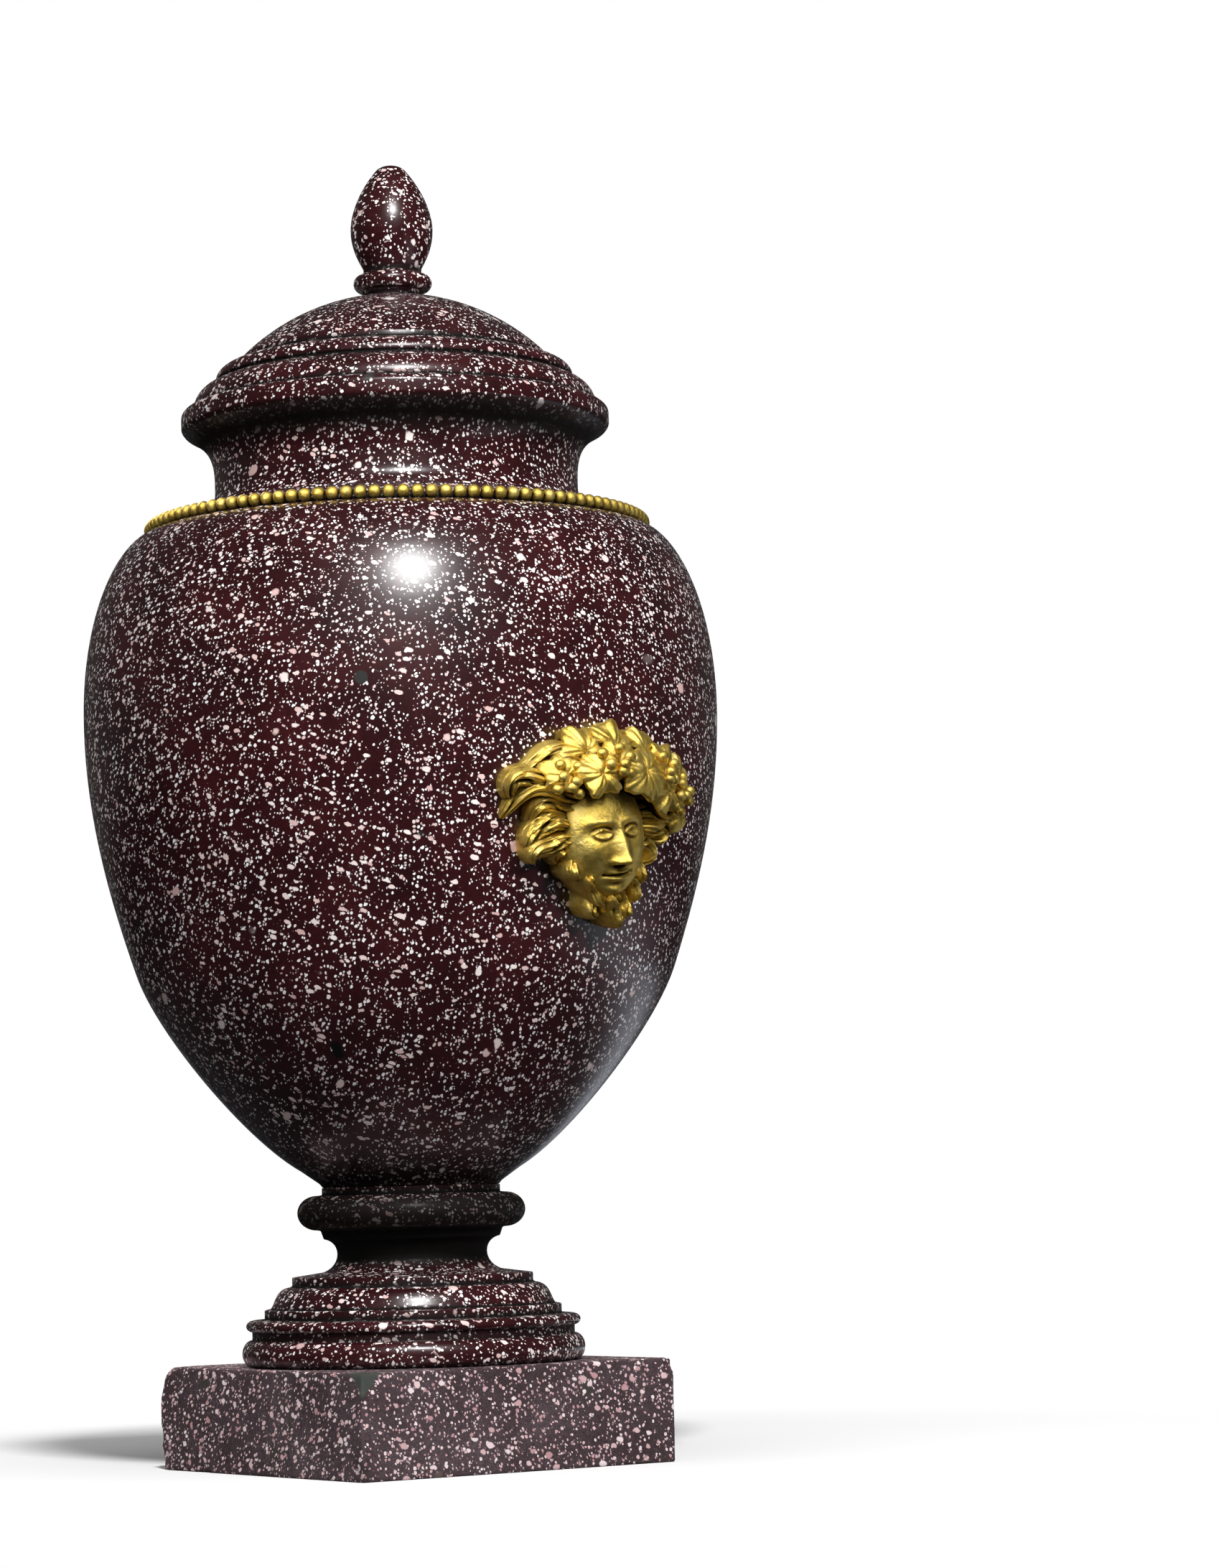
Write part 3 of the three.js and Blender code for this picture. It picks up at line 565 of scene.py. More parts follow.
def body():
    """Body: ovoid, ledge, cavetto, neck and rim outside, and the hollow inside, turned from one line."""
    inner = BELLY_RADIUS - WALL
    line = profile_of(
        (0, FOOT_TOP), (32.3, FOOT_TOP), (33.2, 102.8), body_outline(26),
        (88.4, BEAD_LEDGE), (88.4, 345.6),
        bezier((87.6, 346), (76, 346.4), (67.4, 350.5), (NECK_RADIUS, 358), 18),
        bezier((NECK_RADIUS, 362), (67.4, 371.5), (70, 376.5), (78.3, 380.4), 18),
        (RIM_RADIUS, 381.9), (RIM_RADIUS, 386),
        bezier((RIM_RADIUS, 386), (79.4, 387.6), (78, 388.9), (75.3, RIM_TOP), 8),
        (MOUTH_RADIUS, RIM_TOP), (MOUTH_RADIUS, 346),
        bezier((72, 336), (92, 325), (inner, 305), (inner, BELLY_HEIGHT), 14),
        bezier((inner, BELLY_HEIGHT), (inner, 210), (66, FLOOR_HEIGHT), (20, FLOOR_HEIGHT), 24),
        (0, FLOOR_HEIGHT))
    # Dark joints at the seat on the foot and under the lid; painted shade under the body above the foot, on
    # the ledge under the beads and under the rim
    stone_piece("body_stone", line, BODY_ARRIS, BODY_SEGMENTS, "body", [
        (FOOT_TOP, 5, 31, 60, 0.9), (BEAD_LEDGE + 1, 1.6, 86, 94, 1), (376, 6, 66, 79.3, 1),
        (RIM_TOP, 0.8, 70, 80, 0.9)])


def lid():
    """Lid: hollow underside, spigot, ovolo, band, dome, collar and bud, turned from one line."""
    hollow = DOME_RADIUS - LID_WALL
    hollow_edge = math.degrees(math.acos(SPIGOT_INNER / hollow))
    dome_edge = math.degrees(math.acos(DOME_EDGE / DOME_RADIUS))
    dome_top = math.degrees(math.acos(FINIAL_NECK / DOME_RADIUS))
    line = profile_of(
        arc(0, DOME_CENTRE, hollow, hollow, 90, hollow_edge, 14),
        (SPIGOT_INNER, RIM_TOP - SPIGOT_DEPTH), (SPIGOT_OUTER, RIM_TOP - SPIGOT_DEPTH),
        (SPIGOT_OUTER, RIM_TOP),
        bezier((74.8, RIM_TOP), (74.8, 393.6), (71.5, 397.4), (67.2, 398.4), 14), (66, 398.9), (66, 399.6),
        bezier((66.4, 399.9), (66.6, 403.6), (62.5, 405.6), (58.2, 406), 14), (57, 406.4),
        arc(0, DOME_CENTRE, DOME_RADIUS, DOME_RADIUS, dome_edge, dome_top, 30), (FINIAL_NECK, 432.6),
        arc(11.6, 436.7, 3, 3.1, -90, 90, 16), (10.8, 440.6),
        bezier((10.8, 442.2), (12.3, 445), (15.3, 450), (15.3, 456.8), 16),
        bezier((15.3, 456.8), (15.3, 463.5), (11.8, 472), (5.6, 479.4), 20),
        bezier((5.6, 479.4), (4.2, 481), (2, URN_TOP), (0, URN_TOP), 8))
    # Dark lines of grime and painted shade in the grooves and at the joint with the body
    stone_piece("lid_stone", line, ARRIS, SEGMENTS, "lid", [
        (399.3, 1.1, 60, 67.4, 1), (406.8, 1.3, 55, 58.6, 1), (RIM_TOP, 1.0, 70, 78, 1),
        (432, 1.1, 9, 14, 1), (441.2, 1.3, 0, 12, 1)])


# Plinth

def waves(points, scale, seed):
    """Smooth noise between about -1 and 1: a sum of sine waves in fixed directions, scale in millimetres."""
    rng = np.random.default_rng(seed)
    total = np.zeros(len(points))
    for octave in range(4):
        way = rng.normal(size=(5, 3)) * (2.0 ** octave) / scale
        total += np.sin(points @ way.T + rng.uniform(0, 6.28, 5)).sum(1) / (2.2 * 2 ** octave)
    return total / 3


def spaced(length, steps):
    """Places along an edge, closer together near both its ends."""
    close = np.linspace(0, 9, 13)
    wide = np.linspace(close[-1], length - close[-1], steps)[1:-1]
    return np.concatenate([close, wide, length - close[::-1]])


def plinth():
    """Plinth: a block whose points are drawn in to a rounded box, with the arris radius worn unevenly.

    A point p goes to q + R d, where q is p held inside the block less R, and d the unit way from q to p.
    R grows at the rounded corner, and at each chip the points sink towards the block's middle.
    """
    half = PLINTH_SIDE / 2
    edge = spaced(PLINTH_SIDE, 40) - half
    across, back, side = edge[:-1], edge[:0:-1], np.full(len(edge) - 1, half)
    around = np.concatenate([np.stack(pair, -1) for pair in (
        (across, -side), (side, across), (back, side), (-side, back))])
    count = len(around)
    shrink = np.append(np.linspace(1, 0.86, 14), [0.6, 0.3])
    rings = [(s, 0.0) for s in shrink[:0:-1]] + [(1, z) for z in spaced(PLINTH_TOP, 14)]
    rings += [(s, PLINTH_TOP) for s in shrink[1:]]
    wall = np.concatenate([np.concatenate([around * s, np.full((count, 1), z)], 1) for s, z in rings])
    points = np.concatenate([wall, [[0, 0, 0], [0, 0, PLINTH_TOP]]])
    worn = 0.7 + 0.35 * waves(points, 9, 3) + 0.3 * np.clip(waves(points, 3.5, 5), 0, 1)
    round_corner = np.array([-half, -half, PLINTH_TOP])
    worn += 4.6 * np.exp(-((np.linalg.norm(points - round_corner, axis=1) / 9) ** 4))
    worn = np.clip(worn, 0.25, 6)[:, None]
    low = np.array([-half, -half, 0]) + worn
    high = np.array([half, half, PLINTH_TOP]) - worn
    kept = np.clip(points, low, high)
    way = points - kept
    length = np.linalg.norm(way, axis=1, keepdims=True)
    points = np.where(length > 1e-9, kept + worn * way / np.maximum(length, 1e-9), points)
    chips = [
        ((half, -half, PLINTH_TOP), 8.5, 1.3), ((half, -half, 22), 4, 0.9), ((half, -half, 27), 3, 0.8),
        ((half, -half + 20, PLINTH_TOP), 3, 0.7), ((-half, -half, 3), 6, 1.2), ((-half, -half, 12), 4, 0.9),
        ((half, -half, 2), 4, 0.8), ((-half + 30, -half, 0), 5, 0.8), ((half, half, PLINTH_TOP), 5, 1.2)]
    middle = np.array([0, 0, PLINTH_TOP / 2])
    for place, reach, depth in chips:
        near = np.linalg.norm(points - np.array(place), axis=1) / reach
        sink = depth * np.clip(1 - near ** 2, 0, 1) * (1 + 0.5 * waves(points, 2.5, 11))
        inward = middle - np.array(place)
        points = points + sink[:, None] * inward / np.linalg.norm(inward)
    mesh = mesh_of("plinth_stone", points, closed_faces(len(rings), count))
    obj = stand_in("plinth_stone", mesh, plinth_stone, "plinth", STONE_SHARP)
    aside = np.maximum(half - points[:, 0], points[:, 1] + half)
    filler = 1.5 - (PLINTH_TOP - points[:, 2]) / 9 - aside / 8 + 0.15 * waves(points, 2, 21)
    mark(obj, "filler", np.clip(filler, 0, 1))
    # The foot of the front corner is darker
    mark(obj, "settled", 0.5 * np.exp(-(points[:, 2] / 7) ** 2) * np.exp(-(aside / 5) ** 2))


# Gilt work

def hollows(obj):
    """How deep each point lies in a hollow: how far, along its normal, the work around it stands above it.

    The work around is the mesh smoothed HOLLOW_ROUNDS times, and for wide hollows WIDE_TIMES as often. One
    millimetre gives 1. The gilding lays staining and painted shade by this depth.
    """
    mesh = obj.data
    count = len(mesh.vertices)
    points, normals = vertex_values(mesh, "co") * TO_MM, vertex_values(mesh, "normal")
    edges = np.empty(len(mesh.edges) * 2, np.int32)
    mesh.edges.foreach_get("vertices", edges)
    a, b = edges.reshape(-1, 2).T
    both, other = np.concatenate([a, b]), np.concatenate([b, a])
    share = np.maximum(np.bincount(both, minlength=count), 1)
    weights = {HOLLOW_ROUNDS: 1, WIDE_TIMES * HOLLOW_ROUNDS - 1: WIDE_WEIGHT}
    smooth, depth = points.copy(), np.zeros(count)
    for number in range(WIDE_TIMES * HOLLOW_ROUNDS):
        smooth = np.stack([np.bincount(both, smooth[other, axis], count) / share for axis in range(3)], -1)
        if number in weights:
            depth = np.maximum(depth, ((smooth - points) * normals).sum(1) * weights[number])
    for _ in range(HOLLOW_BLUR):
        depth = 0.5 * depth + 0.5 * np.bincount(both, depth[other], count) / share
    mark(obj, "hollow", np.clip(depth, 0, 1))


def bead_ring():
    """Beads: one small ball, latitude by longitude, set at even angles round the shoulder."""
    rows, columns = 7, 10
    up = np.linspace(-np.pi / 2, np.pi / 2, rows + 2)[1:-1, None]
    across = np.arange(columns)[None] / columns * 2 * np.pi
    ball = np.stack([np.cos(up) * np.cos(across), np.cos(up) * np.sin(across),
                     np.sin(up) + 0 * across], -1).reshape(-1, 3)
    ball = np.concatenate([ball, [[0, 0, -1], [0, 0, 1]]]) * BEAD_RADIUS
    turn = np.arange(BEAD_COUNT)[:, None] / BEAD_COUNT * 2 * np.pi + URN_TURN
    middle = np.stack([BEAD_RING_RADIUS * np.cos(turn), BEAD_RING_RADIUS * np.sin(turn),
                       np.full_like(turn, BEAD_LEDGE + BEAD_LIFT + BEAD_RADIUS)], -1)
    points = (middle + ball[None]).reshape(-1, 3)
    start = np.arange(BEAD_COUNT)[:, None, None] * len(ball)
    faces = [(block[None] + start).reshape(-1, block.shape[1]) for block in closed_faces(rows, columns)]
    mesh = mesh_of("bead_ring_gilt", points, faces)
    obj = stand_in("bead_ring_gilt", mesh, gilt, "bead_ring", BEAD_SHARP)
    # Darker gilding, staining and painted shade, in the gaps between beads and towards each bead's top and
    # bottom
    height = np.abs(points[:, 2] - BEAD_LEDGE - BEAD_LIFT - BEAD_RADIUS) / BEAD_RADIUS
    turned_in = np.arctan2(points[:, 1], points[:, 0]) - URN_TURN
    gap = np.abs(np.mod(turned_in / (2 * np.pi) * BEAD_COUNT + 0.5, 1) - 0.5) * 2
    mark(obj, "hollow", 0.7 * np.maximum(gap, height * 0.9) ** 4)


# The flank's line, how far along it each of its points lies, and its slope there
flank_line = bezier(*FLANK, 400)
flank_run = np.append(0, np.cumsum(np.linalg.norm(np.diff(flank_line, axis=0), axis=1)))
flank_rise = np.gradient(flank_line, flank_run, axis=0)


def on_flank(uvh):
    """Points given across, up and out from the mask's middle, wrapped on the flank along its normal."""
    across, up, out = uvh[..., 0], uvh[..., 1], uvh[..., 2]
    run = MASK_UP + up * MASK_SPREAD
    r = np.interp(run, flank_run, flank_line[:, 0]) + out * np.interp(run, flank_run, flank_rise[:, 1])
    z = np.interp(run, flank_run, flank_line[:, 1]) - out * np.interp(run, flank_run, flank_rise[:, 0])
    turn = across * MASK_SPREAD / MASK_RADIUS + URN_TURN
    return np.stack([r * np.cos(turn), r * np.sin(turn), z], -1)


def hill(u, v, at_u, at_v, half_u, half_v, height):
    """A rounded rise: height times the bell curve of the two scaled distances."""
    return height * np.exp(-((u - at_u) / half_u) ** 2 - ((v - at_v) / half_v) ** 2)


def step(low, high, x):
    """A smooth rise from 0 at low to 1 at high."""
    t = np.clip((x - low) / (high - low), 0, 1)
    return t * t * (3 - 2 * t)


def face_height(u, v):
    """A calm, evenly proportioned face: an oval dome with the features added as rounded rises and dips."""
    s = np.abs(u)
    du = s / (FACE_HALF_WIDTH * FACE_WIDEN)
    dv = np.abs(v - FACE_MIDDLE) / (FACE_HALF_HEIGHT * FACE_LENGTHEN)
    h = FACE_FOOT + FACE_RISE * np.sqrt(np.clip(1 - du ** 2.2 - dv ** 2.3, 0, 1))
    # Brow, eye socket and cheek
    h += hill(s, v, 4.6, 3.6 + 0.5 * np.sin(s / 3), 4.6, 1.5, 1.5)
    h += hill(s, v, EYE_ACROSS, 0.4, 3.1, 1.9, -3.2)
    h += hill(s, v, 8.2, -5, 3.8, 3.8, 1.3)
    # Eyeball, upper lid and lower lid
    ball = np.clip(1 - ((s - EYE_ACROSS) / 2.9) ** 2 - ((v - EYE_UP) / 2.0) ** 2, 0, 1)
    h += 2.6 * np.sqrt(ball) * (ball > 0)
    lid_line = 1 - ((s - EYE_ACROSS) / 3.3) ** 2
    on_eye = step(-0.05, 0.25, lid_line)
    h += 0.75 * np.exp(-((v - EYE_UP - 1.35 * lid_line) / 0.42) ** 2) * on_eye
    h += 0.45 * np.exp(-((v - EYE_UP + 1.05 * lid_line) / 0.4) ** 2) * on_eye
    # Bridge, tip and wings of the nose, nostrils and the groove below
    run = np.clip((3.4 - v) / 11.6, 0, 1)
    bridge = (0.9 + 5.0 * run ** 1.1) * np.exp(-(u / (1.5 + 0.9 * run)) ** 2)
    h += bridge * step(-10.4, -8.9, v) * step(5.2, 2.2, v)
    h += hill(s, v, 0, -8.1, 1.7, 1.5, 1.0)
    h += hill(s, v, 2.5, -8.7, 1.15, 1.15, 1.9)
    h += hill(s, v, 1.3, -10.0, 0.8, 0.6, -1.3)
    h += hill(s, v, 0, -11.3, 0.7, 1.1, -0.4)
    # Upper lip, lower lip, the line between them and its corners
    h += hill(s, v, 0, -12.6 - 0.03 * s, 3.4, 0.75, 1.25)
    h += hill(s, v, 0, -14.7, 3.0, 0.95, 1.6)
    h += -1.5 * np.exp(-((v + 13.55 - 0.012 * s * s) / 0.42) ** 2) * step(5.6, 4.4, s)
    h += hill(s, v, 5.2, -13.2, 0.9, 0.9, -0.7)
    # The dip above the chin, and the chin
    h += hill(s, v, 0, -16.6, 3.4, 1.0, -0.9)
    h += hill(s, v, 0, -19, 3.8, 2.5, 2.3)
    return h


def slab(top):
    """A closed slab: a grid of points across, up and out, over its own copy sunk to the root."""
    rows, columns = top.shape[:2]
    low = top.copy()
    low[..., 2] = MASK_ROOT
    points = np.concatenate([top.reshape(-1, 3), low.reshape(-1, 3)])
    upper = grid_faces(rows, columns, wrap=False)
    lower = upper[:, ::-1] + rows * columns
    rim = np.concatenate([np.arange(columns), np.arange(1, rows) * columns + columns - 1,
                          (rows - 1) * columns + np.arange(columns - 2, -1, -1),
                          np.arange(rows - 2, 0, -1) * columns])
    on = np.roll(rim, -1)
    sides = np.stack([rim, rim + rows * columns, on + rows * columns, on], -1)
    return points, [upper, lower, sides]


def closed_tube(rings):
    """Rings of points, one after another, closed at both ends by a fan to each end ring's middle."""
    rows, columns = rings.shape[:2]
    points = np.concatenate([rings.reshape(-1, 3), rings[:1].mean(1), rings[-1:].mean(1)])
    return points, closed_faces(rows, columns)


def face():
    """The face: face_height over a grid that narrows to an oval."""
    lift = np.linspace(-1, 1, 120)[:, None]
    side = np.linspace(-1, 1, 96)[None]
    u = side * FACE_HALF_WIDTH * np.sqrt(FACE_EDGE - lift ** 2)
    v = FACE_MIDDLE + lift * FACE_HALF_HEIGHT + 0 * side
    return slab(np.stack([u, v, face_height(u, v)], -1))


def lock(root, middle, tip, width, curl):
    """A lock of hair from root through middle to tip, each across, up and out from the mask's middle.

    Its line is the parabola through the three, swung from side to side and turned by curl degrees near its
    tip. Its section is the dome (1 - x^2.2)^0.5 cut by grooves between strands, which sway along it.
    """
    root, middle, tip = (np.array(p, float) for p in (root, middle, tip))
    t = np.linspace(0, 1, LOCK_POINTS)[:, None]
    pull = 2 * middle - (root + tip) / 2
    line = (1 - t) ** 2 * root + 2 * t * (1 - t) * pull + t * t * tip
    run = np.gradient(line[:, :2], axis=0)
    phase = 1.7 * root[0] + 0.9 * root[1]
    head = np.unwrap(np.arctan2(run[:, 1:], run[:, :1]), axis=0)
    head = head + math.radians(curl) * step(CURL_START, 1.0, t) ** CURL_POWER
    head = head + SWING * np.sin(SWING_PACE * t + phase) * step(0, SWING_START, t)
    way = np.concatenate([np.cos(head), np.sin(head)], 1)
    stride = np.linalg.norm(run, axis=1, keepdims=True)
    place = root[:2] + np.cumsum(way * stride, 0) - way[:1] * stride[:1]
    belly = 0.75 + 0.25 * np.sin(np.pi * np.clip(t * 1.2, 0, 1))
    half = width * belly * np.sqrt(np.clip(1.01 - t ** 5, 0, 1))
    out = line[:, 2:] * (1 + 0.1 * np.sin(SWING_PACE * t + phase + 1.6))
    out = out * np.sqrt(np.clip(1.02 - t ** 8, 0.02, 1))
    x = np.sin(np.linspace(-1, 1, LOCK_POINTS) * np.pi / 2)[None]
    sway = 0.5 * np.sin(4 * t + phase)
    comb = np.abs(np.cos(np.pi * LOCK_STRANDS / 2 * (x + 0.3 * sway))) ** 0.5
    fine = np.abs(np.cos(np.pi * LOCK_STRANDS * 1.27 * (x - 0.2 * sway))) ** 0.5
    part = np.exp(-((x - 0.8 * sway) / 0.15) ** 2)
    dome = np.sqrt(np.clip(1 - np.abs(x) ** 2.2, 0, 1))
    cut = GROOVE * (1 - comb) + FINE_GROOVE * (1 - fine) + PARTING * part
    high = out * dome - cut * dome ** 0.5 * np.clip(8 * (1 - t) + 0.3, 0, 1) * width / 4
    across = half * x
    top = np.stack([place[:, :1] - way[:, 1:] * across, place[:, 1:] + way[:, :1] * across, high], -1)
    under = top[:, ::-1][:, 3:-3:5].copy()
    under[..., 2] = MASK_ROOT
    return closed_tube(np.concatenate([top, under], 1)[:, ::-1])


def leaf(u, v, out, reach, heading):
    """A vine leaf about its stalk: the edge is a low round plus a bell-shaped lobe on each of five veins.

    The blade swells between the veins, ruffles towards its toothed edge, is a little undercut, and leans down
    away from the mask's middle.
    """
    a = np.arange(LEAF_POINTS)[None] / LEAF_POINTS * 2 * np.pi
    off = np.mod(a[None] - LEAF_VEINS + np.pi, 2 * np.pi) - np.pi
    edge = LEAF_ROUND + ((LEAF_LONG - LEAF_ROUND) * np.exp(-(off / LEAF_LOBE) ** 2)).sum(0)
    edge = reach * (edge + 0.05 * np.abs(np.sin(9 * a + u)))
    r = LEAF_OVER * edge
    rib = (np.exp(-(r * np.sin(off) / 0.55) ** 2) * (np.cos(off) > 0)).sum(0)
    swell = 1.5 * np.sin(np.pi * LEAF_OVER ** 0.8) * np.exp(-(np.abs(off).min(0) / 0.7) ** 2)
    ruffle = 1.2 * np.sin(5 * a + 2 * v) * LEAF_OVER ** 2.5 + 0.8 * np.sin(2 * a + u) * LEAF_OVER
    turn = a + heading
    away = math.atan2(v - LEAF_CENTRE, u)
    top = out + swell - 0.7 * rib * np.sqrt(LEAF_OVER) + ruffle - 1.6 * LEAF_OVER ** 2
    top = top - LEAF_LEAN * r * np.cos(turn - away)
    high = np.where(np.isinf(LEAF_DROP), MASK_ROOT, np.maximum(top - LEAF_DROP, MASK_ROOT + 0.5))
    base_u = u - LEAF_STALK * reach * math.cos(heading)
    base_v = v - LEAF_STALK * reach * math.sin(heading)
    rings = np.stack([base_u + r * np.cos(turn), base_v + r * np.sin(turn), high], -1)
    return closed_tube(rings[::-1])


def grape(middle, radius):
    """A grape: a ball by latitude and longitude, standing on the work below."""
    up = np.linspace(-1.45, 1.45, 10)[:, None]
    a = np.arange(16)[None] / 16 * 2 * np.pi
    around = radius * np.cos(up)
    rings = np.stack([middle[0] + around * np.cos(a), middle[1] + around * np.sin(a),
                      middle[2] + radius * np.sin(up) + 0 * a], -1)
    return closed_tube(rings)


# Hair and beard round from the upper left: root, middle and tip, each across, up and out, half width and curl
LOCKS = [
    ((-8, 19, 13), (-22, 22.5, 11), (-35, 15, 6.5), 4.8, 40),
    ((-11, 14, 13), (-27, 16.5, 12), (-40, 10.5, 7), 4.6, 70),
    ((-11, 9.5, 12), (-27, 10.5, 10), (-40, 5.5, 5.5), 4.0, 50),
    ((-13, 5.5, 10.5), (-22, 6, 9.5), (-31, 2.5, 6.5), 3.6, 60),
    ((-13, 1, 10), (-23, 1, 11.5), (-31, -5, 8.5), 4.4, 80),
    ((-13, -4, 10), (-22, -5, 12), (-29, -11, 9), 4.4, 90),
    ((-13, -7, 9), (-16.5, -9, 9.5), (-18.5, -13, 7), 2.8, 110),
    ((-12, -9, 12), (-11.5, -15, 13.5), (-6, -21, 11), 2.6, 60),
    ((-7.5, -14.5, 13.5), (-4.5, -20.5, 15), (2, -27, 11), 3.2, 60),
    ((-4, -19, 11), (-1.5, -26, 11), (5, -32, 8), 3.0, 80),
    ((-2, -18, 12), (3, -26, 13.5), (8, -33, 9), 4.0, 80),
    ((3, -20, 14), (6, -27, 15), (11, -34, 10), 4.4, 60),
    ((7, -19, 13), (11, -25, 13.5), (16, -30, 9.5), 3.8, 50),
    ((11, -14, 11), (16, -19, 11.5), (19, -25, 8.5), 3.4, -60),
    ((13, -9, 10), (18, -13, 10.5), (20.5, -19, 8), 3.2, -80),
    ((13, -4, 10), (21, -5, 10.5), (27, -12, 8.5), 4.0, -110),
    ((13, 1, 10), (24, 1, 11.5), (34, -6, 8.5), 4.4, -130),
    ((13, 6, 11), (26, 7, 10), (38, 0, 6.5), 4.4, -90),
    ((12, 13, 12), (26, 15, 10), (39, 8, 6), 4.8, -60),
    ((10, 19, 13), (22, 22.5, 10.5), (34, 15, 6), 4.8, -40),
]

# Vine leaves: across, up, out, reach and heading
LEAVES = [
    (-12, 26.5, 12, 8.6, 2.2), (-1, 28.5, 12.5, 9.0, 1.3), (11, 27, 12, 8.6, 0.8), (-10, 17, 20, 8.0, -1.9),
    (6, 18, 20, 9.6, -1.2), (19, 22.5, 13.5, 9.0, 0.9), (20, 13, 15, 8.6, -0.7), (32, 14.5, 10.5, 9.6, 0.2),
    (33, 6, 9.5, 8.0, -0.9), (-20, 18, 14.5, 7.2, 2.8), (-2, 23, 18, 7.6, 0.6), (26, 20, 12, 7.6, 1.4)]

# Bunches of grapes: across, up and out
BUNCHES = [(-17, 15.5, 17), (-4, 21.5, 21.5), (15, 20, 18.5), (26, 13, 15)]


def tilted(points):
    """The head's tilt: points turned in the mask's plane about the face's middle."""
    u, v = points[..., 0].copy(), points[..., 1] - FACE_MIDDLE
    points[..., 0] = u * math.cos(HEAD_TILT) - v * math.sin(HEAD_TILT)
    points[..., 1] = u * math.sin(HEAD_TILT) + v * math.cos(HEAD_TILT) + FACE_MIDDLE
    return points


def mask_shells():
    """Every shell of the mask: face, hair, beard, leaves and grapes, in across, up and out."""
    points, faces = face()
    shells = [(tilted(points), faces)]
    shells += [lock(*row) for row in LOCKS] + [leaf(*row) for row in LEAVES]
    n = np.arange(BUNCH_GRAPES)
    for u, v, out in BUNCHES:
        for spread, turn in zip(GRAPE_RADIUS * GRAPE_SPACING * np.sqrt(n), n * GRAPE_TURN + u):
            place = (u + spread * math.cos(turn), v + spread * math.sin(turn), out + 1.2 - 0.12 * spread ** 2)
            shells.append(grape(place, GRAPE_RADIUS))
    return shells


def mask(name, node_name, side):
    """A mask: its shells joined into one skin by a union, on the +X side of the urn for 1 and -X for -1."""
    group = bpy.data.collections.new(name + "_shells")
    bpy.context.scene.collection.children.link(group)
    spin = np.array([side, side, 1.0])
    made = []
    for number, (points, faces) in enumerate(mask_shells()):
        mesh = mesh_of(f"{name}_{number}", on_flank(points) * spin, faces)
        shell = bpy.data.objects.new(f"{name}_{number}", mesh)
        made.append(shell)
        group.objects.link(shell)
    base = made[0]
    group.objects.unlink(base)
    bpy.context.scene.collection.objects.link(base)
    join = base.modifiers.new("join", "BOOLEAN")
    join.operation = "UNION"
    join.operand_type = "COLLECTION"
    join.collection = group
    join.solver = "MANIFOLD"
    bpy.context.view_layer.update()
    joined = bpy.data.meshes.new_from_object(base.evaluated_get(bpy.context.evaluated_depsgraph_get()))
    for shell in made:
        bpy.data.objects.remove(shell)
    bpy.data.collections.remove(group)
    joined.name = name
    joined.materials.clear()
    hollows(stand_in(name, joined, gilt, node_name, MASK_SHARP))


# Studio

def paper_floor():
    """A floor that glows white to the camera away from the urn, and is dark in reflections but for a band."""
    mesh = bpy.data.meshes.new("floor")
    corners = [(-1, -1), (1, -1), (1, 1), (-1, 1)]
    mesh.from_pydata([(FLOOR_HALF * x, FLOOR_HALF * y, 0) for x, y in corners], [], [(0, 1, 2, 3)])
    floor = bpy.data.objects.new("floor", mesh)
    bpy.context.collection.objects.link(floor)
    material, tree = new_material("floor_paper")
    seen = node(tree, "ShaderNodeLightPath").outputs["Is Camera Ray"]
    place = node(tree, "ShaderNodeTexCoord").outputs["Object"]
    far = node(tree, "ShaderNodeVectorMath", {0: place}, operation="LENGTH").outputs["Value"]
    far = node(tree, "ShaderNodeMapRange", {0: far, 1: FADE_FROM, 2: FADE_TO}).outputs[0]
    glow = node(tree, "ShaderNodeMath", {0: seen, 1: far}, operation="MULTIPLY").outputs[0]
    turn = CAMERA_ROUND + CAMERA_YAW
    back, right = (-math.sin(turn), math.cos(turn)), (math.cos(turn), math.sin(turn))
    way = (*(BAND_BACK * b + BAND_RIGHT * r for b, r in zip(back, right)), 0)
    across = node(tree, "ShaderNodeVectorMath", {0: place, 1: way}, operation="DOT_PRODUCT").outputs["Value"]
    start = node(tree, "ShaderNodeMapRange", {
        0: across, 1: BAND_START[0], 2: BAND_START[1], 3: BAND_DARK, 4: BAND_PALE}).outputs[0]
    end = node(tree, "ShaderNodeMapRange", {
        0: across, 1: BAND_END[0], 2: BAND_END[1], 3: BAND_PALE, 4: BAND_DARK}).outputs[0]
    band = node(tree, "ShaderNodeMath", {0: start, 1: end}, operation="MINIMUM").outputs[0]
    tone = node(tree, "ShaderNodeVectorMath", {0: BAND_TINT, "Scale": band}, operation="SCALE").outputs[0]
    white = node(tree, "ShaderNodeMix", {0: seen, 6: tone, 7: PAPER_WHITE}, data_type="RGBA").outputs[2]
    paper = node(tree, "ShaderNodeBsdfDiffuse", {0: white})
    lit = node(tree, "ShaderNodeEmission", {0: WHITE})
    both = node(tree, "ShaderNodeMixShader", {0: glow, 1: paper.outputs[0], 2: lit.outputs[0]})
    node(tree, "ShaderNodeOutputMaterial", {0: both.outputs[0]})
    mesh.materials.append(material)
    return floor


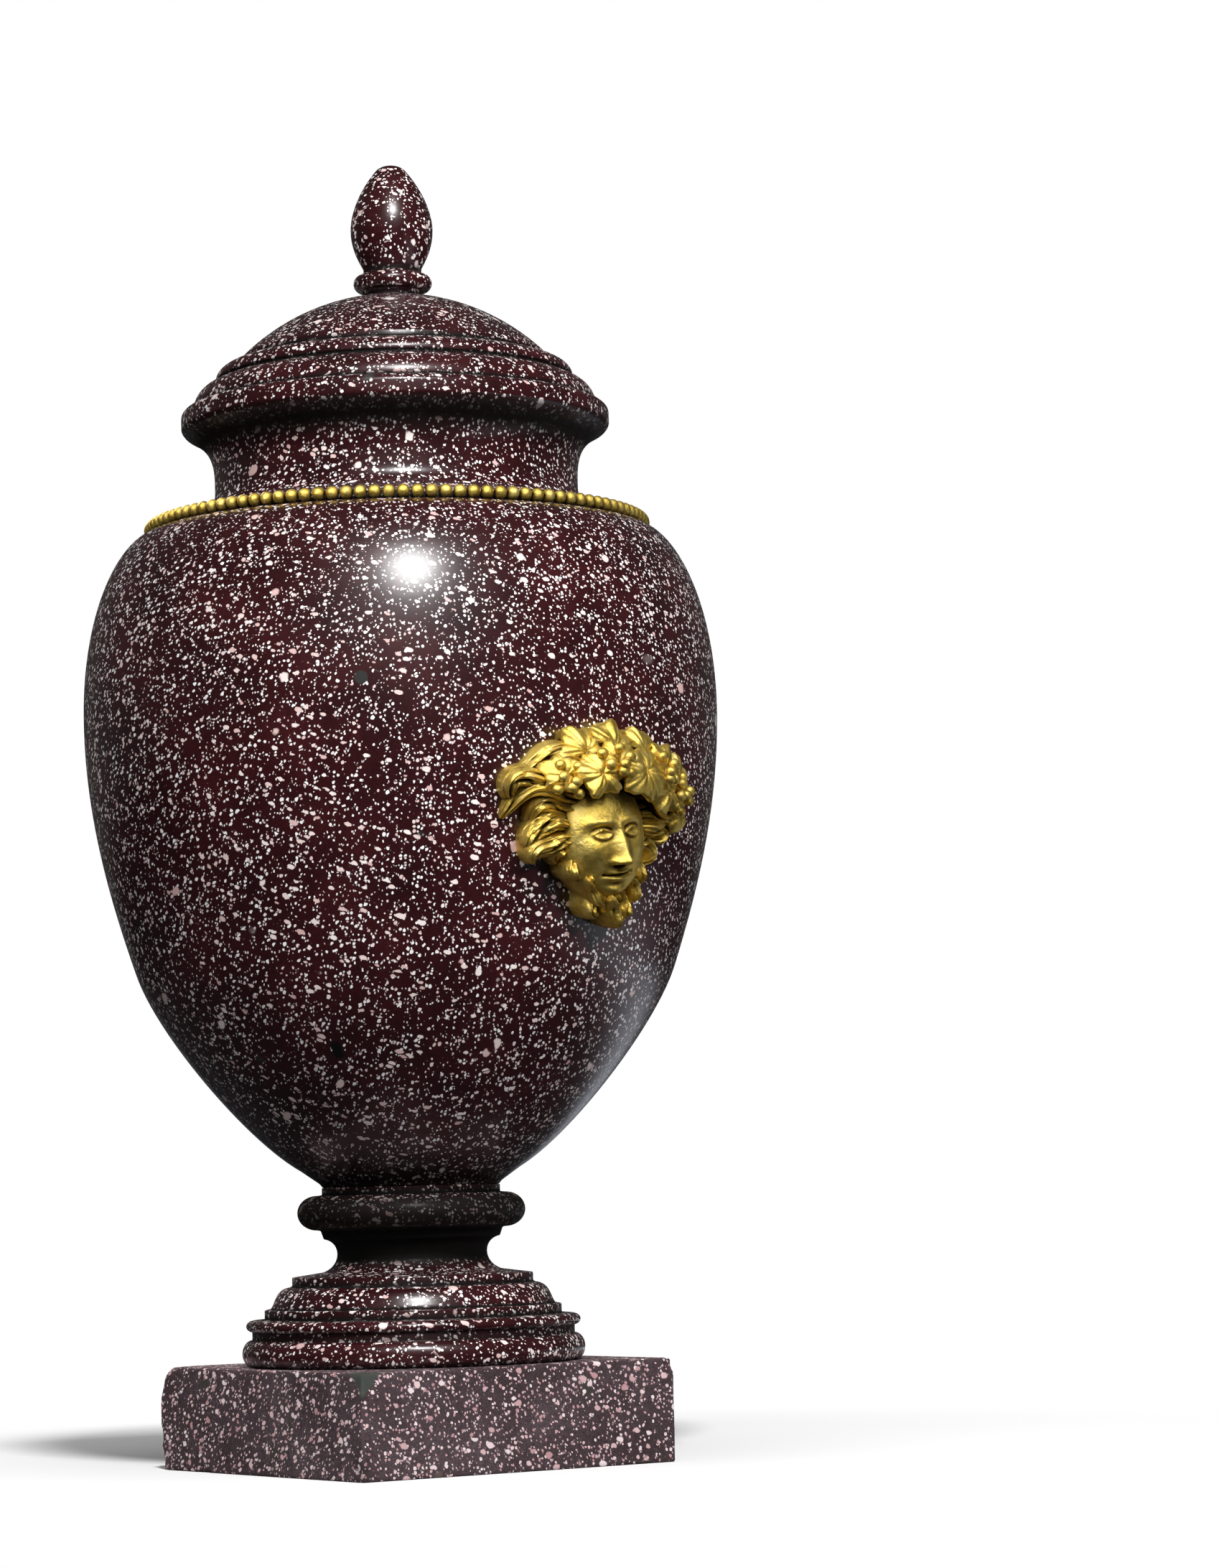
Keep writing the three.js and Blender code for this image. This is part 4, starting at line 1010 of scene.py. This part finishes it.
def surround():
    """A world that is white to the camera, and dark with one bright lobe to everything else."""
    world = bpy.data.worlds.new("surround")
    bpy.context.scene.world = world
    world.use_nodes = True
    tree = world.node_tree
    tree.nodes.clear()
    look = node(tree, "ShaderNodeTexCoord").outputs["Generated"]
    lobe = light_way(*LOBE_PLACE).tolist()
    toward = node(tree, "ShaderNodeVectorMath", {0: look, 1: lobe}, operation="DOT_PRODUCT").outputs["Value"]
    glow = node(tree, "ShaderNodeMapRange", {
        0: toward, 1: LOBE_RISE[0], 2: LOBE_RISE[1], 3: LOBE_LEVELS[0], 4: LOBE_LEVELS[1]},
        interpolation_type="SMOOTHSTEP").outputs[0]
    seen = node(tree, "ShaderNodeLightPath").outputs["Is Camera Ray"]
    level = node(tree, "ShaderNodeMix", {0: seen, 2: glow, 3: 1.0}).outputs[0]
    back = node(tree, "ShaderNodeBackground", {0: WHITE, 1: level})
    node(tree, "ShaderNodeOutputWorld", {0: back.outputs[0]})


def lamps(floor):
    """Soft round lights, each linked to the urn, the floor, or the stone, gilt work or plinth alone."""
    urn = [obj for obj in bpy.data.objects if obj.type == "MESH" and obj != floor and not obj.hide_render]
    groups = {"urn": urn, "floor": [floor]}
    for part in ("stone", "gilt", "plinth"):
        groups[part] = [obj for obj in urn if part in obj.name]
    for name, right, up, far, size, watts, glossy, lit in LIGHTS:
        way = light_way(right, up)
        lamp = bpy.data.lights.new(name, "AREA")
        lamp.shape = "DISK"
        lamp.size = size * TO_METRES
        lamp.energy = watts
        obj = bpy.data.objects.new(name, lamp)
        place_looking(obj, LIGHT_AIM + way * far, -way, 0.0)
        bpy.context.collection.objects.link(obj)
        obj.visible_glossy = glossy
        group = bpy.data.collections.new(name + "_lights")
        for receiver in groups[lit]:
            group.objects.link(receiver)
        obj.light_linking.receiver_collection = group


def light_way(right, up):
    """The way towards a light that stands so many degrees right of the camera and up."""
    turn, rise = CAMERA_ROUND - math.pi / 2 + math.radians(right), math.radians(up)
    return np.array([math.cos(rise) * math.cos(turn), math.cos(rise) * math.sin(turn), math.sin(rise)])


def place_looking(obj, place, ahead, roll):
    """Sets an object at a place in millimetres, looking ahead, turned about that line by roll."""
    right = np.cross(ahead, UP)
    right /= np.linalg.norm(right)
    high = np.cross(right, ahead)
    across = math.cos(roll) * right + math.sin(roll) * high
    upward = -math.sin(roll) * right + math.cos(roll) * high
    matrix = np.eye(4)
    matrix[:3] = np.stack([across, upward, -ahead, np.array(place) * TO_METRES], -1)
    obj.matrix_world = Matrix(matrix.tolist())


def camera():
    """The camera: place from its round, distance and height, aim from yaw, pitch and roll."""
    lens = bpy.data.cameras.new("camera")
    lens.sensor_width = SENSOR
    lens.lens = FOCAL_PIXELS / PHOTO_HEIGHT * SENSOR
    lens.clip_end = 100
    obj = bpy.data.objects.new("camera", lens)
    turn = CAMERA_ROUND + CAMERA_YAW
    level = np.array([-math.sin(turn), math.cos(turn), 0])
    ahead = math.cos(CAMERA_PITCH) * level + math.sin(CAMERA_PITCH) * UP
    away_x, away_y = CAMERA_DISTANCE * math.sin(CAMERA_ROUND), -CAMERA_DISTANCE * math.cos(CAMERA_ROUND)
    place_looking(obj, (away_x, away_y, CAMERA_HEIGHT), ahead, CAMERA_ROLL)
    bpy.context.collection.objects.link(obj)
    bpy.context.scene.camera = obj


camera()
plinth()
foot()
body()
lid()
bead_ring()
mask("mask_front_gilt", "mask_front", 1.0)
mask("mask_back_gilt", "mask_back", -1.0)

bpy.context.scene.view_settings.view_transform = "Standard"
surround()
lamps(paper_floor())
